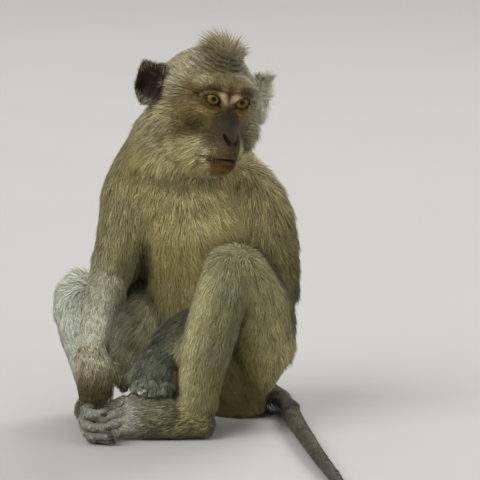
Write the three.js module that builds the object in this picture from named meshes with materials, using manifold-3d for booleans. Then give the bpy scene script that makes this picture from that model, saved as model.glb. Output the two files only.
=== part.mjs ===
// Crab-eating macaque, life size, sitting on its rump with the knees up. Both hands reach down to the feet,
// the head is turned to the animal's left, and the tail lies on the floor and runs forwards on its left side.
// Millimetres, +Z up, floor at Z = 0. The origin is the middle of the rump's flat, and -Y is forwards.
// Every solid is the animal's outline with its coat on. Each is made whole, then cut clear of its neighbours.
import * as THREE from "three";
import { mergeVertices } from "three/addons/utils/BufferGeometryUtils.js";
import Module from "manifold-3d";

const wasm = await Module();
wasm.setup();

const { cos, sin, hypot, exp, sqrt, min, max, PI } = Math;
const radians = THREE.MathUtils.degToRad;

// ---- driving sizes ----

const cutGap = 0.4; // clearance between two neighbouring solids
const cutTolerance = 0.15; // how far a cut solid may be simplified, well inside the clearance

const headCentre = [-26, -60, 331]; // middle of the braincase
const headTurn = { yaw: 24, pitch: -4, roll: 9.5 }; // degrees: to its left, nose down, left ear down
const eye = { radius: 9, forward: 43, apart: 30, up: -5 };
const ear = { height: 41, width: 28, thick: 3.4, cup: 6, turn: 42, lean: 4, at: [-3, 60, -1] };

// A stop is [x, y, z, half width, half thickness, turn], with turn in degrees about Z where it isn't nought.
const trunkStops = [
  [0, 4, 8, 38, 30, -38],
  [-6, 4, 40, 55, 45, -38],
  [-15, 2, 80, 67, 53, -36],
  [-21, -4, 125, 71, 56, -32],
  [-27, -16, 170, 70, 55, -26],
  [-34, -30, 210, 69, 53, -19],
  [-42, -36, 250, 70, 50, -14],
  [-45, -36, 274, 55, 41, -12],
];
const neckStops = [
  [-43, -38, 244, 62, 46, -14],
  [-47, -40, 266, 68, 56, -12],
  [-43, -43, 289, 58, 53, -6],
  [-33, -50, 310, 43, 43, 4],
  [-29, -54, 328, 34, 34, 14],
];

// Limbs run from the body outwards. Half widths are measured along "across", half thicknesses square to it.
const limbs = {
  upper_arm_left: {
    across: [1, 0, 0],
    stops: [[10, -58, 244, 26, 26], [24, -58, 216, 31, 28], [34, -52, 174, 30, 27], [40, -42, 128, 24, 24]],
  },
  upper_arm_right: {
    across: [1, 0, 0],
    stops: [
      [-84, -22, 264, 34, 31], [-99, -28, 234, 34, 31], [-107, -24, 194, 28, 27], [-118, -15, 148, 23, 24],
    ],
  },
  forearm_left: {
    across: [0, 0, 1],
    stops: [[42, -42, 120, 22, 20], [2, -64, 118, 22, 20], [-38, -86, 108, 21, 19], [-68, -100, 86, 20, 16]],
  },
  forearm_right: {
    across: [1, 0, 0],
    stops: [
      [-121, -14, 146, 21, 20], [-128, -48, 128, 20, 19], [-133, -88, 107, 18, 16], [-138, -118, 88, 16, 13],
    ],
  },
  thigh_left: {
    across: [1, 0, 0],
    stops: [
      [19, -12, 46, 27, 37], [28, -32, 86, 38, 42], [18, -64, 124, 37, 38], [6, -92, 154, 32, 31],
      [0, -104, 170, 27, 24],
    ],
  },
  thigh_right: {
    across: [0, 0, 1],
    stops: [
      [-34, 14, 54, 44, 42], [-66, 16, 78, 58, 46], [-104, 18, 88, 62, 42], [-136, 18, 106, 40, 32],
      [-155, 17, 121, 24, 24],
    ],
  },
  shin_left: {
    across: [1, 0, 0],
    stops: [
      [-4, -108, 170, 25, 21], [-13, -113, 138, 28, 26], [-24, -114, 100, 28, 25], [-32, -112, 62, 24, 21],
      [-36, -111, 32, 21, 20],
    ],
  },
  shin_right: {
    across: [1, 0, 0],
    stops: [
      [-158, 16, 122, 22, 20], [-158, -2, 100, 24, 24], [-151, -24, 74, 21, 22], [-143, -42, 48, 18, 18],
      [-140, -50, 34, 17, 18],
    ],
  },
};

// Palms and soles are short limbs. A digit is the line through its joints, from the palm to the tip, thumb or
// big toe first.
const extremities = {
  hand_right: {
    digitHalf: 5.2,
    across: [0.95, 0.3, 0],
    stops: [[-138, -120, 87, 17, 12], [-133, -128, 66, 19, 12], [-132, -132, 46, 17, 10]],
    digits: [
      [[-120, -122, 72], [-111, -118, 60], [-106, -116, 51]],
      [[-134, -134, 44], [-141, -142, 34], [-137, -149, 32], [-124, -152, 33]],
      [[-136, -132, 40], [-144, -138, 24], [-140, -147, 20], [-120, -152, 19]],
      [[-133, -130, 36], [-142, -134, 15], [-138, -144, 11], [-118, -149, 11]],
      [[-130, -126, 34], [-138, -130, 8], [-134, -139, 5], [-116, -145, 5]],
    ],
  },
  hand_left: {
    digitHalf: 5.2,
    across: [0.85, -0.4, 0.35],
    stops: [[-70, -102, 82, 21, 13], [-78, -107, 66, 20, 12], [-84, -106, 54, 18, 8]],
    digits: [
      [[-92, -110, 68], [-101, -114, 58], [-106, -114, 50]],
      [[-70, -112, 62], [-66, -119, 52], [-67, -112, 43], [-71, -100, 35]],
      [[-78, -113, 60], [-76, -121, 50], [-77, -113, 41], [-80, -98, 33]],
      [[-86, -113, 60], [-86, -121, 50], [-87, -112, 40], [-89, -92, 30]],
      [[-92, -108, 60], [-96, -116, 50], [-97, -106, 40], [-96, -86, 30]],
    ],
  },
  foot_left: {
    digitHalf: 6.2,
    across: [0, 0.25, 0.97],
    stops: [
      [-30, -113, 15, 14, 14], [-50, -114, 20, 20, 14], [-74, -116, 20, 19, 13], [-103, -118, 23, 21, 11],
    ],
    digits: [
      [[-58, -104, 32], [-64, -94, 36], [-72, -88, 32], [-80, -88, 26]],
      [[-101, -114, 38], [-116, -120, 34], [-128, -126, 29], [-136, -130, 24]],
      [[-102, -119, 29], [-116, -126, 27], [-128, -132, 22], [-136, -135, 18]],
      [[-103, -123, 20], [-117, -130, 18], [-127, -135, 14], [-134, -137, 11]],
      [[-105, -124, 12], [-116, -131, 9], [-125, -135, 6], [-131, -137, 5]],
    ],
  },
  foot_right: {
    digitHalf: 6.2,
    across: [1, 0.1, 0.25],
    stops: [
      [-142, -36, 13, 14, 13], [-141, -52, 15, 16, 14], [-136, -72, 13, 17, 11], [-132, -92, 11, 17, 10],
    ],
    digits: [
      [[-122, -62, 14], [-113, -70, 12], [-107, -80, 8], [-103, -88, 6]],
      [[-121, -95, 10], [-120, -104, 10], [-120, -108, 6]],
      [[-128, -97, 10], [-127, -107, 10], [-127, -111, 6]],
      [[-136, -96, 10], [-136, -105, 10], [-136, -109, 6]],
      [[-143, -92, 9], [-144, -100, 9], [-144, -104, 6]],
    ],
  },
};
const digitTaper = 0.09; // share of its half width that a digit loses from one joint to the next

const tail = { lengths: 5, rootHalf: 13, tipHalf: 5.5, sink: 0.8 }; // sink presses a small flat under it
const tailStops = [
  [8, 20, 38], [25, 32, 27], [42, 25, 15], [51, -4, 12.2], [55, -50, 11.6], [62, -115, 11],
  [71, -185, 10], [81, -255, 8.8], [91, -320, 7.6], [98, -370, 6.4], [103, -405, 5.4],
];

// Balls that melt into the head's outline, in the head's own axes: at [forwards, left, up], half sizes, and
// the nose-down tilt in degrees where it isn't nought.
const headBalls = [
  { at: [-4, 0, 2], half: [46, 44, 38] }, // braincase
  { at: [36, 0, 8], half: [15, 30, 12] }, // brow
  { at: [25, 0, -15], half: [28, 31, 25] }, // eye sockets and cheekbones
  { at: [40, 0, -39], half: [31, 16, 19], tilt: 26 }, // muzzle
  { at: [43, 0, -61], half: [25, 17, 15] }, // lower jaw and chin
  { at: [-12, 36, -38], half: [28, 28, 29] }, // whiskers of the left cheek
  { at: [-12, -36, -38], half: [28, 28, 29] }, // whiskers of the right cheek
  { at: [10, 17, -48], half: [26, 19, 24] }, // whiskers under the left cheek
  { at: [10, -17, -48], half: [26, 19, 24] }, // whiskers under the right cheek
  { at: [-12, 47, -4], half: [11, 9, 14] }, // root of the left ear
  { at: [-12, -47, -4], half: [11, 9, 14] }, // root of the right ear
  { at: [16, 1, 34], half: [19, 23, 20] }, // crest
  { at: [18, 0, 48], half: [12, 16, 15] }, // tip of the crest
];
const headBlend = 5; // larger keeps the balls more apart
const headMiddle = [12, 0, -16]; // where the outline is measured from

// ---- closed surfaces ----

// Joins rings of equal length into one closed skin between two poles.
function skinOfRings(rings, firstPole, lastPole) {
  const sides = rings[0].length;
  const points = [firstPole, ...rings.flat(), lastPole];
  const last = points.length - 1;
  const topRing = last - sides;
  const faces = [];
  for (let i = 0; i < sides; i++) {
    const next = (i + 1) % sides;
    faces.push(0, 1 + next, 1 + i);
    for (let low = 1; low < topRing; low += sides) {
      const high = low + sides;
      faces.push(low + i, low + next, high + next, low + i, high + next, high + i);
    }
    faces.push(topRing + i, topRing + next, last);
  }
  const geometry = new THREE.BufferGeometry();
  geometry.setAttribute("position", new THREE.Float32BufferAttribute(points.flatMap((p) => p.toArray()), 3));
  geometry.setIndex(faces);
  return geometry;
}

// A round-ended tube of ellipses along a smooth line through the stops.
function tube(stops, { across = [1, 0, 0], sides = 12, steps = 5, caps = 1, grow = 0 } = {}) {
  const line = new THREE.CatmullRomCurve3(stops.map(([x, y, z]) => new THREE.Vector3(x, y, z)));
  const sizes = new THREE.CatmullRomCurve3(stops.map((s) => new THREE.Vector3(s[3], s[4], s[5] ?? 0)));
  const sectionAt = (t) => {
    const along = line.getTangent(t);
    const size = sizes.getPoint(t);
    const wideWay = new THREE.Vector3(...across).applyAxisAngle(new THREE.Vector3(0, 0, 1), radians(size.z));
    wideWay.addScaledVector(along, -wideWay.dot(along)).normalize();
    const thickWay = new THREE.Vector3().crossVectors(along, wideWay);
    return { at: line.getPoint(t), along, wideWay, thickWay, wide: size.x + grow, thick: size.y + grow };
  };
  const ring = (section, scale, shift) => {
    const centre = section.at.clone().addScaledVector(section.along, shift);
    return Array.from({ length: sides }, (_, i) => {
      const angle = (2 * PI * i) / sides;
      const point = centre.clone().addScaledVector(section.wideWay, section.wide * scale * cos(angle));
      return point.addScaledVector(section.thickWay, section.thick * scale * sin(angle));
    });
  };
  const roundEnd = (section, way) => {
    const length = 0.75 * way * min(section.wide, section.thick);
    const rings = Array.from({ length: caps }, (_, k) => {
      const angle = (((k + 1) / (caps + 1)) * PI) / 2;
      return ring(section, cos(angle), length * sin(angle));
    });
    return { rings, pole: section.at.clone().addScaledVector(section.along, length) };
  };
  const low = roundEnd(sectionAt(0), -1);
  const high = roundEnd(sectionAt(1), 1);
  const middle = Array.from({ length: steps + 1 }, (_, k) => ring(sectionAt(k / steps), 1, 0));
  return skinOfRings([...low.rings.reverse(), ...middle, ...high.rings], low.pole, high.pole);
}

// ---- solids ----

function solidOf(geometry) {
  const bare = geometry.clone();
  bare.deleteAttribute("normal");
  bare.deleteAttribute("uv");
  const merged = mergeVertices(bare, 1e-4);
  const vertProperties = merged.attributes.position.array;
  const triVerts = new Uint32Array(merged.index.array);
  const solid = new wasm.Manifold(new wasm.Mesh({ numProp: 3, vertProperties, triVerts }));
  if (solid.volume() > 0) return solid;
  throw new Error("a geometry is inside out");
}

function geometryOf(solid) {
  const { numVert, numProp, vertProperties, triVerts } = solid.getMesh();
  const points = [];
  for (let i = 0; i < numVert; i++) points.push(...vertProperties.subarray(i * numProp, i * numProp + 3));
  const geometry = new THREE.BufferGeometry();
  geometry.setAttribute("position", new THREE.Float32BufferAttribute(points, 3));
  geometry.setIndex(Array.from(triVerts));
  geometry.computeVertexNormals();
  return geometry;
}

const tubeSolid = (stops, options) => solidOf(tube(stops, options));
const bulkier = (one, other) => (other.volume() > one.volume() ? other : one);
const largest = (solid) => solid.decompose().reduce(bulkier);

// ---- head ----

const headMatrix = new THREE.Matrix4()
  .makeRotationZ(radians(headTurn.yaw - 90))
  .multiply(new THREE.Matrix4().makeRotationY(radians(-headTurn.pitch)))
  .multiply(new THREE.Matrix4().makeRotationX(radians(-headTurn.roll)))
  .setPosition(...headCentre);

// Sum of the balls' falling fields. It is 1 on the outline and more inside.
function headField(point) {
  let sum = 0;
  for (const { at, half, tilt = 0 } of headBalls) {
    const [forward, left, up] = [point.x - at[0], point.y - at[1], point.z - at[2]];
    const noseWay = forward * cos(radians(tilt)) - up * sin(radians(tilt));
    const crownWay = forward * sin(radians(tilt)) + up * cos(radians(tilt));
    sum += exp(headBlend * (1 - hypot(noseWay / half[0], left / half[1], crownWay / half[2])));
  }
  return sum;
}

// The outline's point in one direction, found by halving.
function headPoint(direction, grow) {
  const from = new THREE.Vector3(...headMiddle);
  let near = 10;
  let far = 150;
  for (let i = 0; i < 24; i++) {
    const middle = (near + far) / 2;
    if (headField(from.clone().addScaledVector(direction, middle)) > 1) near = middle;
    else far = middle;
  }
  return from.addScaledVector(direction, near + grow).applyMatrix4(headMatrix);
}

function headSolid(grow) {
  const sides = 24;
  const rows = 15;
  const pointAt = (bend, spin) =>
    headPoint(new THREE.Vector3(cos(bend), sin(bend) * cos(spin), sin(bend) * sin(spin)), grow);
  const rings = Array.from({ length: rows }, (_, k) => {
    const share = (k + 1) / (rows + 1);
    const bend = PI * (0.7 * share + 0.3 * share * share); // closer rings on the face
    return Array.from({ length: sides }, (_, i) => pointAt(bend, (2 * PI * i) / sides));
  });
  return solidOf(skinOfRings(rings.reverse(), pointAt(PI, 0), pointAt(0, 0)));
}

// way is 1 for the left eye or ear and -1 for the right one
function eyeSolid(way, grow) {
  const at = new THREE.Vector3(eye.forward, (way * eye.apart) / 2, eye.up).applyMatrix4(headMatrix);
  return solidOf(new THREE.SphereGeometry(eye.radius + grow, 12, 7).translate(at.x, at.y, at.z));
}

// A cupped ear: two faces over one outline, joined at the rim. Its upper corners are drawn out.
function earSolid(way, grow) {
  const sides = 18;
  const bump = (angle, peak, spread) => exp(-(((angle - peak) / spread) ** 2));
  const outline = (angle) =>
    1 + 0.32 * bump(angle, 2.3, 0.42) + 0.2 * bump(angle, 0.85, 0.5) - 0.12 * bump(angle, 4, 0.6);
  // In the ear's own axes X runs to the head, Y is the open side and Z is up.
  const point = (share, angle, side) => {
    const reach = outline(angle) * share;
    const hollow = ear.cup * (1 - share ** 2);
    const wall = side * (ear.thick / 2 + grow) * sqrt(max(0, 1 - share ** 6));
    const x = (ear.width / 2 + grow) * reach * cos(angle);
    const z = (ear.height / 2 + grow) * reach * sin(angle);
    return new THREE.Vector3(x, wall - hollow, z);
  };
  const angles = Array.from({ length: sides }, (_, i) => (2 * PI * i) / sides);
  const ring = (share, side) => angles.map((angle) => point(share, angle, side));
  const shares = [0.42, 0.83];
  const front = shares.map((share) => ring(share, 1));
  const back = shares.map((share) => ring(share, -1)).reverse();
  const geometry = skinOfRings([...front, ring(1, 0), ...back], point(0, 0, 1), point(0, 0, -1));
  geometry.rotateZ(radians(-90 - ear.turn));
  geometry.rotateX(radians(-ear.lean));
  geometry.translate(ear.at[0], -ear.at[1], ear.at[2]);
  if (way > 0) {
    geometry.scale(1, -1, 1);
    geometry.setIndex(Array.from(geometry.index.array).reverse()); // keeps the faces pointing out
  }
  return solidOf(geometry.applyMatrix4(headMatrix));
}

// ---- limbs, hands, feet and tail ----

const limbSolid = ({ across, stops }, grow) => tubeSolid(stops, { across, grow });

function digitSolid(joints, half, grow) {
  const stops = joints.map((joint, k) => {
    const halfHere = half * (1 - digitTaper * k);
    return [...joint, halfHere, halfHere];
  });
  return tubeSolid(stops, { across: [0, 0.3, 1], sides: 6, steps: joints.length - 1, grow });
}

function extremitySolid({ across, stops, digits, digitHalf }, grow) {
  const palm = tubeSolid(stops, { across, sides: 10, steps: 3, grow });
  return digits.reduce((whole, joints) => whole.add(digitSolid(joints, digitHalf, grow)), palm);
}

const tailLine = new THREE.CatmullRomCurve3(tailStops.map((stop) => new THREE.Vector3(...stop)));

function tailSolid(number, grow) {
  const stops = Array.from({ length: 5 }, (_, k) => {
    const t = (number + k / 4) / tail.lengths;
    const at = tailLine.getPointAt(t);
    const half = THREE.MathUtils.lerp(tail.rootHalf, tail.tipHalf, t ** 0.8);
    return [at.x, at.y, max(at.z, half - tail.sink), half, half];
  });
  return tubeSolid(stops, { across: [0, 0, 1], sides: 8, steps: 4, grow });
}

// ---- the whole animal ----

const makers = {
  eye_left: (grow) => eyeSolid(1, grow),
  eye_right: (grow) => eyeSolid(-1, grow),
  trunk: (grow) => tubeSolid(trunkStops, { sides: 18, steps: 10, caps: 2, grow }),
  neck: (grow) => tubeSolid(neckStops, { sides: 16, steps: 4, grow }),
  head: headSolid,
  ear_left: (grow) => earSolid(1, grow),
  ear_right: (grow) => earSolid(-1, grow),
};
for (const [name, limb] of Object.entries(limbs)) {
  makers[name] = (grow) => limbSolid(limb, grow);
}
for (const [name, extremity] of Object.entries(extremities).reverse()) {
  makers[name] = (grow) => extremitySolid(extremity, grow);
}
for (let i = 0; i < tail.lengths; i++) {
  makers["tail_" + (i + 1)] = (grow) => tailSolid(i, grow);
}

const coatColour = 0x948c6c;
const colours = {
  eye: 0x8a7a2c,
  ear: 0x5b4a3e,
  head: 0x9a9176,
  hand: 0x8d8a7c,
  foot: 0x8d8a7c,
  shin: 0xa6a48c,
  tail: 0x6e6c66,
};
function finishOf(kind) {
  const roughness = kind === "eye" ? 0.1 : 0.85;
  return new THREE.MeshStandardMaterial({ color: colours[kind] ?? coatColour, roughness, metalness: 0 });
}

const floorSlab = new THREE.BoxGeometry(1600, 1600, 200).translate(0, -100, -100);
const macaque = new THREE.Group();
let taken = solidOf(floorSlab); // the space that no later solid may enter
for (const [name, make] of Object.entries(makers)) {
  const solid = largest(make(0).subtract(taken)).simplify(cutTolerance);
  const mesh = new THREE.Mesh(geometryOf(solid), finishOf(name.split("_")[0]));
  mesh.name = name;
  macaque.add(mesh);
  taken = taken.add(make(cutGap));
}

export default macaque;
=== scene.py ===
import math
import bpy
import numpy as np
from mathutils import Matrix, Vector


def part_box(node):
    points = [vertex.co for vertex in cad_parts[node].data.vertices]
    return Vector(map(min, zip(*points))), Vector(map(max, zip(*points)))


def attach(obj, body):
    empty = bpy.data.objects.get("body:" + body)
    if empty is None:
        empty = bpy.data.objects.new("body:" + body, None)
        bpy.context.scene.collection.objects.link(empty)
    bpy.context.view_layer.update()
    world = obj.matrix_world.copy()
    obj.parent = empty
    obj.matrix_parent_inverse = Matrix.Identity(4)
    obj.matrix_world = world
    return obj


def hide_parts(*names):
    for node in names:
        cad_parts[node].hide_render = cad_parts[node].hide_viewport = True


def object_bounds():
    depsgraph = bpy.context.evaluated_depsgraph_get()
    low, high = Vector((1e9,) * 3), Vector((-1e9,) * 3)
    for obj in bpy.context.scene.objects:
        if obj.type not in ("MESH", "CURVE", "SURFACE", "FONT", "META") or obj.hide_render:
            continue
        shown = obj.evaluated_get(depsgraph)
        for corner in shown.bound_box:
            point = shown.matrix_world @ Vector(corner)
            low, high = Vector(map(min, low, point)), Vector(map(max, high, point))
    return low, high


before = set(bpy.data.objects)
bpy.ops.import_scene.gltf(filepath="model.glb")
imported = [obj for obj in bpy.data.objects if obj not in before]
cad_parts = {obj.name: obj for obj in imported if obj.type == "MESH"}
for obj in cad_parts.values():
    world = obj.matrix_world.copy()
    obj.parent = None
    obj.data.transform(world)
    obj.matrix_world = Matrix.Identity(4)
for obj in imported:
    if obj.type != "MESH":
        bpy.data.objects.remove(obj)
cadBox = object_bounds()
mm = 0.001
rng = np.random.default_rng(11)


# arrays and meshes

def unit(v):  # each row divided by its length
    return v / np.maximum(np.linalg.norm(v, axis=-1, keepdims=True), 1e-12)


def dot(a, b):  # row by row
    return (a * b).sum(-1, keepdims=True)


def bell(x, middle, size):  # exp(-((x - middle) / size)^2)
    return np.exp(-(((x - middle) / size) ** 2))


def ramp(x, low, high):  # smooth step from 0 at low to 1 at high
    t = np.clip((x - low) / (high - low), 0, 1)
    return t * t * (3 - 2 * t)


def linear(rgb):  # screen colour, 0 to 255, to scene colour
    c = np.asarray(rgb, float) / 255
    return np.where(c <= 0.04045, c / 12.92, ((c + 0.055) / 1.055) ** 2.4)


def ripple(points, size, seed, waves=6):
    # Smooth noise in [-1, 1]: a mean of sines along fixed random directions, with wavelengths near size.
    draw = np.random.default_rng(seed)
    ways = unit(draw.normal(size=(waves, 3))) * (2 * np.pi / size) * draw.uniform(0.6, 1.5, (waves, 1))
    turns = draw.uniform(0, 2 * np.pi, waves)
    return np.sin(points @ ways.T + turns).sum(1) / math.sqrt(waves / 2) / 1.6


def smoothPath(stops, t):
    # Catmull-Rom curve through the stops, read at shares t of the way.
    stops = np.asarray(stops, float)
    padded = np.vstack([2 * stops[0] - stops[1], stops, 2 * stops[-1] - stops[-2]])
    x = np.clip(t, 0, 1) * (len(stops) - 1)
    i = np.minimum(x.astype(int), len(stops) - 2)
    s = (x - i)[:, None]
    a, b, c, d = (padded[i + k] for k in range(4))
    return 0.5 * (2 * b + (c - a) * s + (2 * a - 5 * b + 4 * c - d) * s**2 + (3 * b - a - 3 * c + d) * s**3)


def shell(rings, first, last):
    # Closed surface: every ring joined to the next, and each end ring to a pole. Faces point outwards.
    n, m = rings.shape[:2]
    points = np.vstack([rings.reshape(-1, 3), first, last])
    i = np.arange(m)
    j = (i + 1) % m
    base = (np.arange(n - 1) * m)[:, None]
    quads = [np.stack([base + i, base + j, base + m + j], -1),
             np.stack([base + i, base + m + j, base + m + i], -1)]
    caps = [np.stack([j, i, np.full(m, n * m)], -1), np.stack([i, j, np.full(m, n * m + 1)], -1)]
    caps[1][:, :2] += (n - 1) * m
    faces = np.concatenate([q.reshape(-1, 3) for q in quads] + caps)
    a, b, c = (points[faces[:, k]] for k in range(3))
    if dot(np.cross(a, b), c).sum() < 0:
        faces = faces[:, ::-1]
    return points, faces


def tube(stops, across, rings, sides, capRings=4):
    # Ellipses of [wide, thick] carried along the smooth path through [x, y, z, wide, thick], with round ends.
    path = smoothPath(stops, np.linspace(0, 1, rings))
    centre, wide, thick = path[:, :3], path[:, 3:4], path[:, 4:5]
    along = unit(np.gradient(centre, axis=0))
    wideWay = unit(across - dot(along, np.asarray(across, float)) * along)
    thickWay = np.cross(along, wideWay)
    rise = np.arange(1, capRings + 1) / (capRings + 1) * np.pi / 2
    low = np.minimum(wide[0], thick[0]) * 0.8
    high = np.minimum(wide[-1], thick[-1]) * 0.8
    pick = np.concatenate([np.zeros(capRings, int), np.arange(rings), np.full(capRings, rings - 1)])
    scale = np.concatenate([np.cos(rise[::-1]), np.ones(rings), np.cos(rise)])[:, None]
    shift = np.concatenate([-low * np.sin(rise[::-1]), np.zeros(rings), high * np.sin(rise)])[:, None]
    angle = np.linspace(0, 2 * np.pi, sides, endpoint=False)
    c, s = np.cos(angle)[None, :, None], np.sin(angle)[None, :, None]
    middle = (centre[pick] + along[pick] * shift)[:, None]
    ringPoints = middle + (wideWay * wide)[pick][:, None] * c * scale[:, None]
    ringPoints = ringPoints + (thickWay * thick)[pick][:, None] * s * scale[:, None]
    return shell(ringPoints, centre[0] - along[0] * low, centre[-1] + along[-1] * high)


def joined(parts):
    # One list of points and one of faces out of several.
    starts = np.cumsum([0] + [len(p) for p, _ in parts[:-1]])
    return np.vstack([p for p, _ in parts]), np.vstack([f + s for (_, f), s in zip(parts, starts)])


def objectFrom(name, points, faces):  # points in metres
    mesh = bpy.data.meshes.new(name)
    mesh.vertices.add(len(points))
    mesh.vertices.foreach_set("co", np.ascontiguousarray(points, np.float32).ravel())
    mesh.loops.add(faces.size)
    mesh.loops.foreach_set("vertex_index", np.ascontiguousarray(faces, np.int32).ravel())
    mesh.polygons.add(len(faces))
    mesh.polygons.foreach_set("loop_start", np.arange(len(faces), dtype=np.int32) * faces.shape[1])
    mesh.polygons.foreach_set("use_smooth", np.ones(len(faces), bool))
    mesh.update(calc_edges=True)
    obj = bpy.data.objects.new(name, mesh)
    bpy.context.scene.collection.objects.link(obj)
    return obj


def finished(obj):  # its modifiers turned into mesh
    bpy.context.view_layer.update()
    made = bpy.data.meshes.new_from_object(obj.evaluated_get(bpy.context.evaluated_depsgraph_get()))
    obj.modifiers.clear()
    obj.data = made
    return obj


def pointsOf(mesh):
    out = np.empty(len(mesh.vertices) * 3, np.float32)
    mesh.vertices.foreach_get("co", out)
    return out.reshape(-1, 3).astype(float)


def trianglesOf(mesh):
    mesh.calc_loop_triangles()
    out = np.empty(len(mesh.loop_triangles) * 3, np.int32)
    mesh.loop_triangles.foreach_get("vertices", out)
    return out.reshape(-1, 3)


def edgesOf(mesh):
    out = np.empty(len(mesh.edges) * 2, np.int32)
    mesh.edges.foreach_get("vertices", out)
    return out.reshape(-1, 2)


def gathered(index, values, count):  # sum of the values that share an index
    return np.stack([np.bincount(index, values[:, k], count) for k in range(values.shape[1])], 1)


def normalsOf(points, triangles):  # area-weighted, at each point
    a, b, c = (points[triangles[:, k]] for k in range(3))
    face = np.cross(b - a, c - a)
    return unit(gathered(triangles.ravel(), np.repeat(face, 3, 0), len(points)))


def spread(values, edges, rounds, share=0.5, back=0.0):
    # Each value moves a share of the way to its neighbours' mean and, where back is set, out again by it.
    ends = np.concatenate([edges[:, 0], edges[:, 1]])
    others = np.concatenate([edges[:, 1], edges[:, 0]])
    count = np.maximum(np.bincount(ends, minlength=len(values)), 1)[:, None]
    for _ in range(rounds):
        for step in (share, -back) if back else (share,):
            mean = gathered(ends, values[others], len(values)) / count
            values = values + (mean - values) * step
    return values


def remeshed(name, points, faces, voxel):  # one closed surface of even squares round all the shapes
    obj = objectFrom(name, points, faces)
    remesh = obj.modifiers.new("even", "REMESH")
    remesh.mode = "VOXEL"
    remesh.voxel_size = voxel
    return finished(obj)


def setPoints(mesh, points):
    mesh.vertices.foreach_set("co", np.ascontiguousarray(points, np.float32).ravel())
    mesh.update()


def addColour(mesh, name, rgb):  # one colour for each point
    layer = mesh.attributes.new(name, "FLOAT_COLOR", "POINT")
    layer.data.foreach_set("color", np.hstack([rgb, np.ones((len(rgb), 1))]).astype(np.float32).ravel())


# what the frame gives: the corners and the run of each node, and the head's axes

nodePoints = {name: pointsOf(obj.data) for name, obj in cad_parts.items()}
nodeMiddle = {name: p.mean(0) for name, p in nodePoints.items()}


def boneOf(name, towards, reach=0.94):
    # A node's long axis through its middle: start, end and mean radius. The end is the one nearer the next.
    p = nodePoints[name] - nodeMiddle[name]
    axis = np.linalg.svd(p - p.mean(0), full_matrices=False)[2][0]
    if axis @ towards < 0:
        axis = -axis
    t = p @ axis
    radius = np.linalg.norm(p - t[:, None] * axis, axis=1).mean()
    low, high = t.min() * reach, t.max() * reach
    return nodeMiddle[name] + axis * low, nodeMiddle[name] + axis * high, radius


nextNode = {"trunk": "tail_1", "neck": "trunk"}
for side in ("left", "right"):
    chains = [("upper_arm_", "forearm_", "hand_"), ("thigh_", "shin_", "foot_")]
    for chain in chains:
        for one, other in zip(chain, chain[1:]):
            nextNode[one + side] = other + side
for i in range(1, 5):
    nextNode[f"tail_{i}"] = f"tail_{i + 1}"
bones = {name: boneOf(name, nodeMiddle[other] - nodeMiddle[name]) for name, other in nextNode.items()}
for side in ("left", "right"):
    for one, other in (("hand_", "forearm_"), ("foot_", "shin_")):
        bones[one + side] = boneOf(one + side, nodeMiddle[one + side] - nodeMiddle[other + side])
bones["tail_5"] = boneOf("tail_5", nodeMiddle["tail_5"] - nodeMiddle["tail_4"])

headPlan = {
    "eyeForward": 43.0,  # the eyeballs' middles, ahead of and below the middle of the braincase
    "eyeUp": -5.0,
    "earSlope": 4.7,  # degrees by which the line from the ears to the eyes runs down
    "middle": (12.0, 0.0, -16.0),  # where the rays to the head's outline start
    "blend": 5.5,  # larger keeps the balls more apart
}
eyeMiddles = {side: sum(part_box("eye_" + side), start=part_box("eye_left")[0] * 0) / 2
              for side in ("left", "right")}
eyeMiddles = {side: np.array(v) for side, v in eyeMiddles.items()}
headLeft = unit(eyeMiddles["left"] - eyeMiddles["right"])
towardsEyes = (eyeMiddles["left"] + eyeMiddles["right"]
               - nodeMiddle["ear_left"] - nodeMiddle["ear_right"]) / 2
towardsEyes = unit(towardsEyes - (towardsEyes @ headLeft) * headLeft)
headUp = np.cross(towardsEyes, headLeft)
slope = math.radians(headPlan["earSlope"])
headAhead = towardsEyes * math.cos(slope) + headUp * math.sin(slope)
headUp = np.cross(headAhead, headLeft)
headAxes = np.stack([headAhead, headLeft, headUp])  # rows: forwards, left, up
headCentre = (eyeMiddles["left"] + eyeMiddles["right"]) / 2
headCentre = headCentre - (headAhead * headPlan["eyeForward"] + headUp * headPlan["eyeUp"]) * mm


def toHead(points):  # millimetres in the head's own axes
    return (points - headCentre) @ headAxes.T / mm


def fromHead(points):
    return headCentre + points @ headAxes * mm


print("frame: head axes", np.round(headAxes, 3).tolist(), "centre", np.round(headCentre / mm, 1).tolist())


# the skin's head: a star-shaped surface

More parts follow.
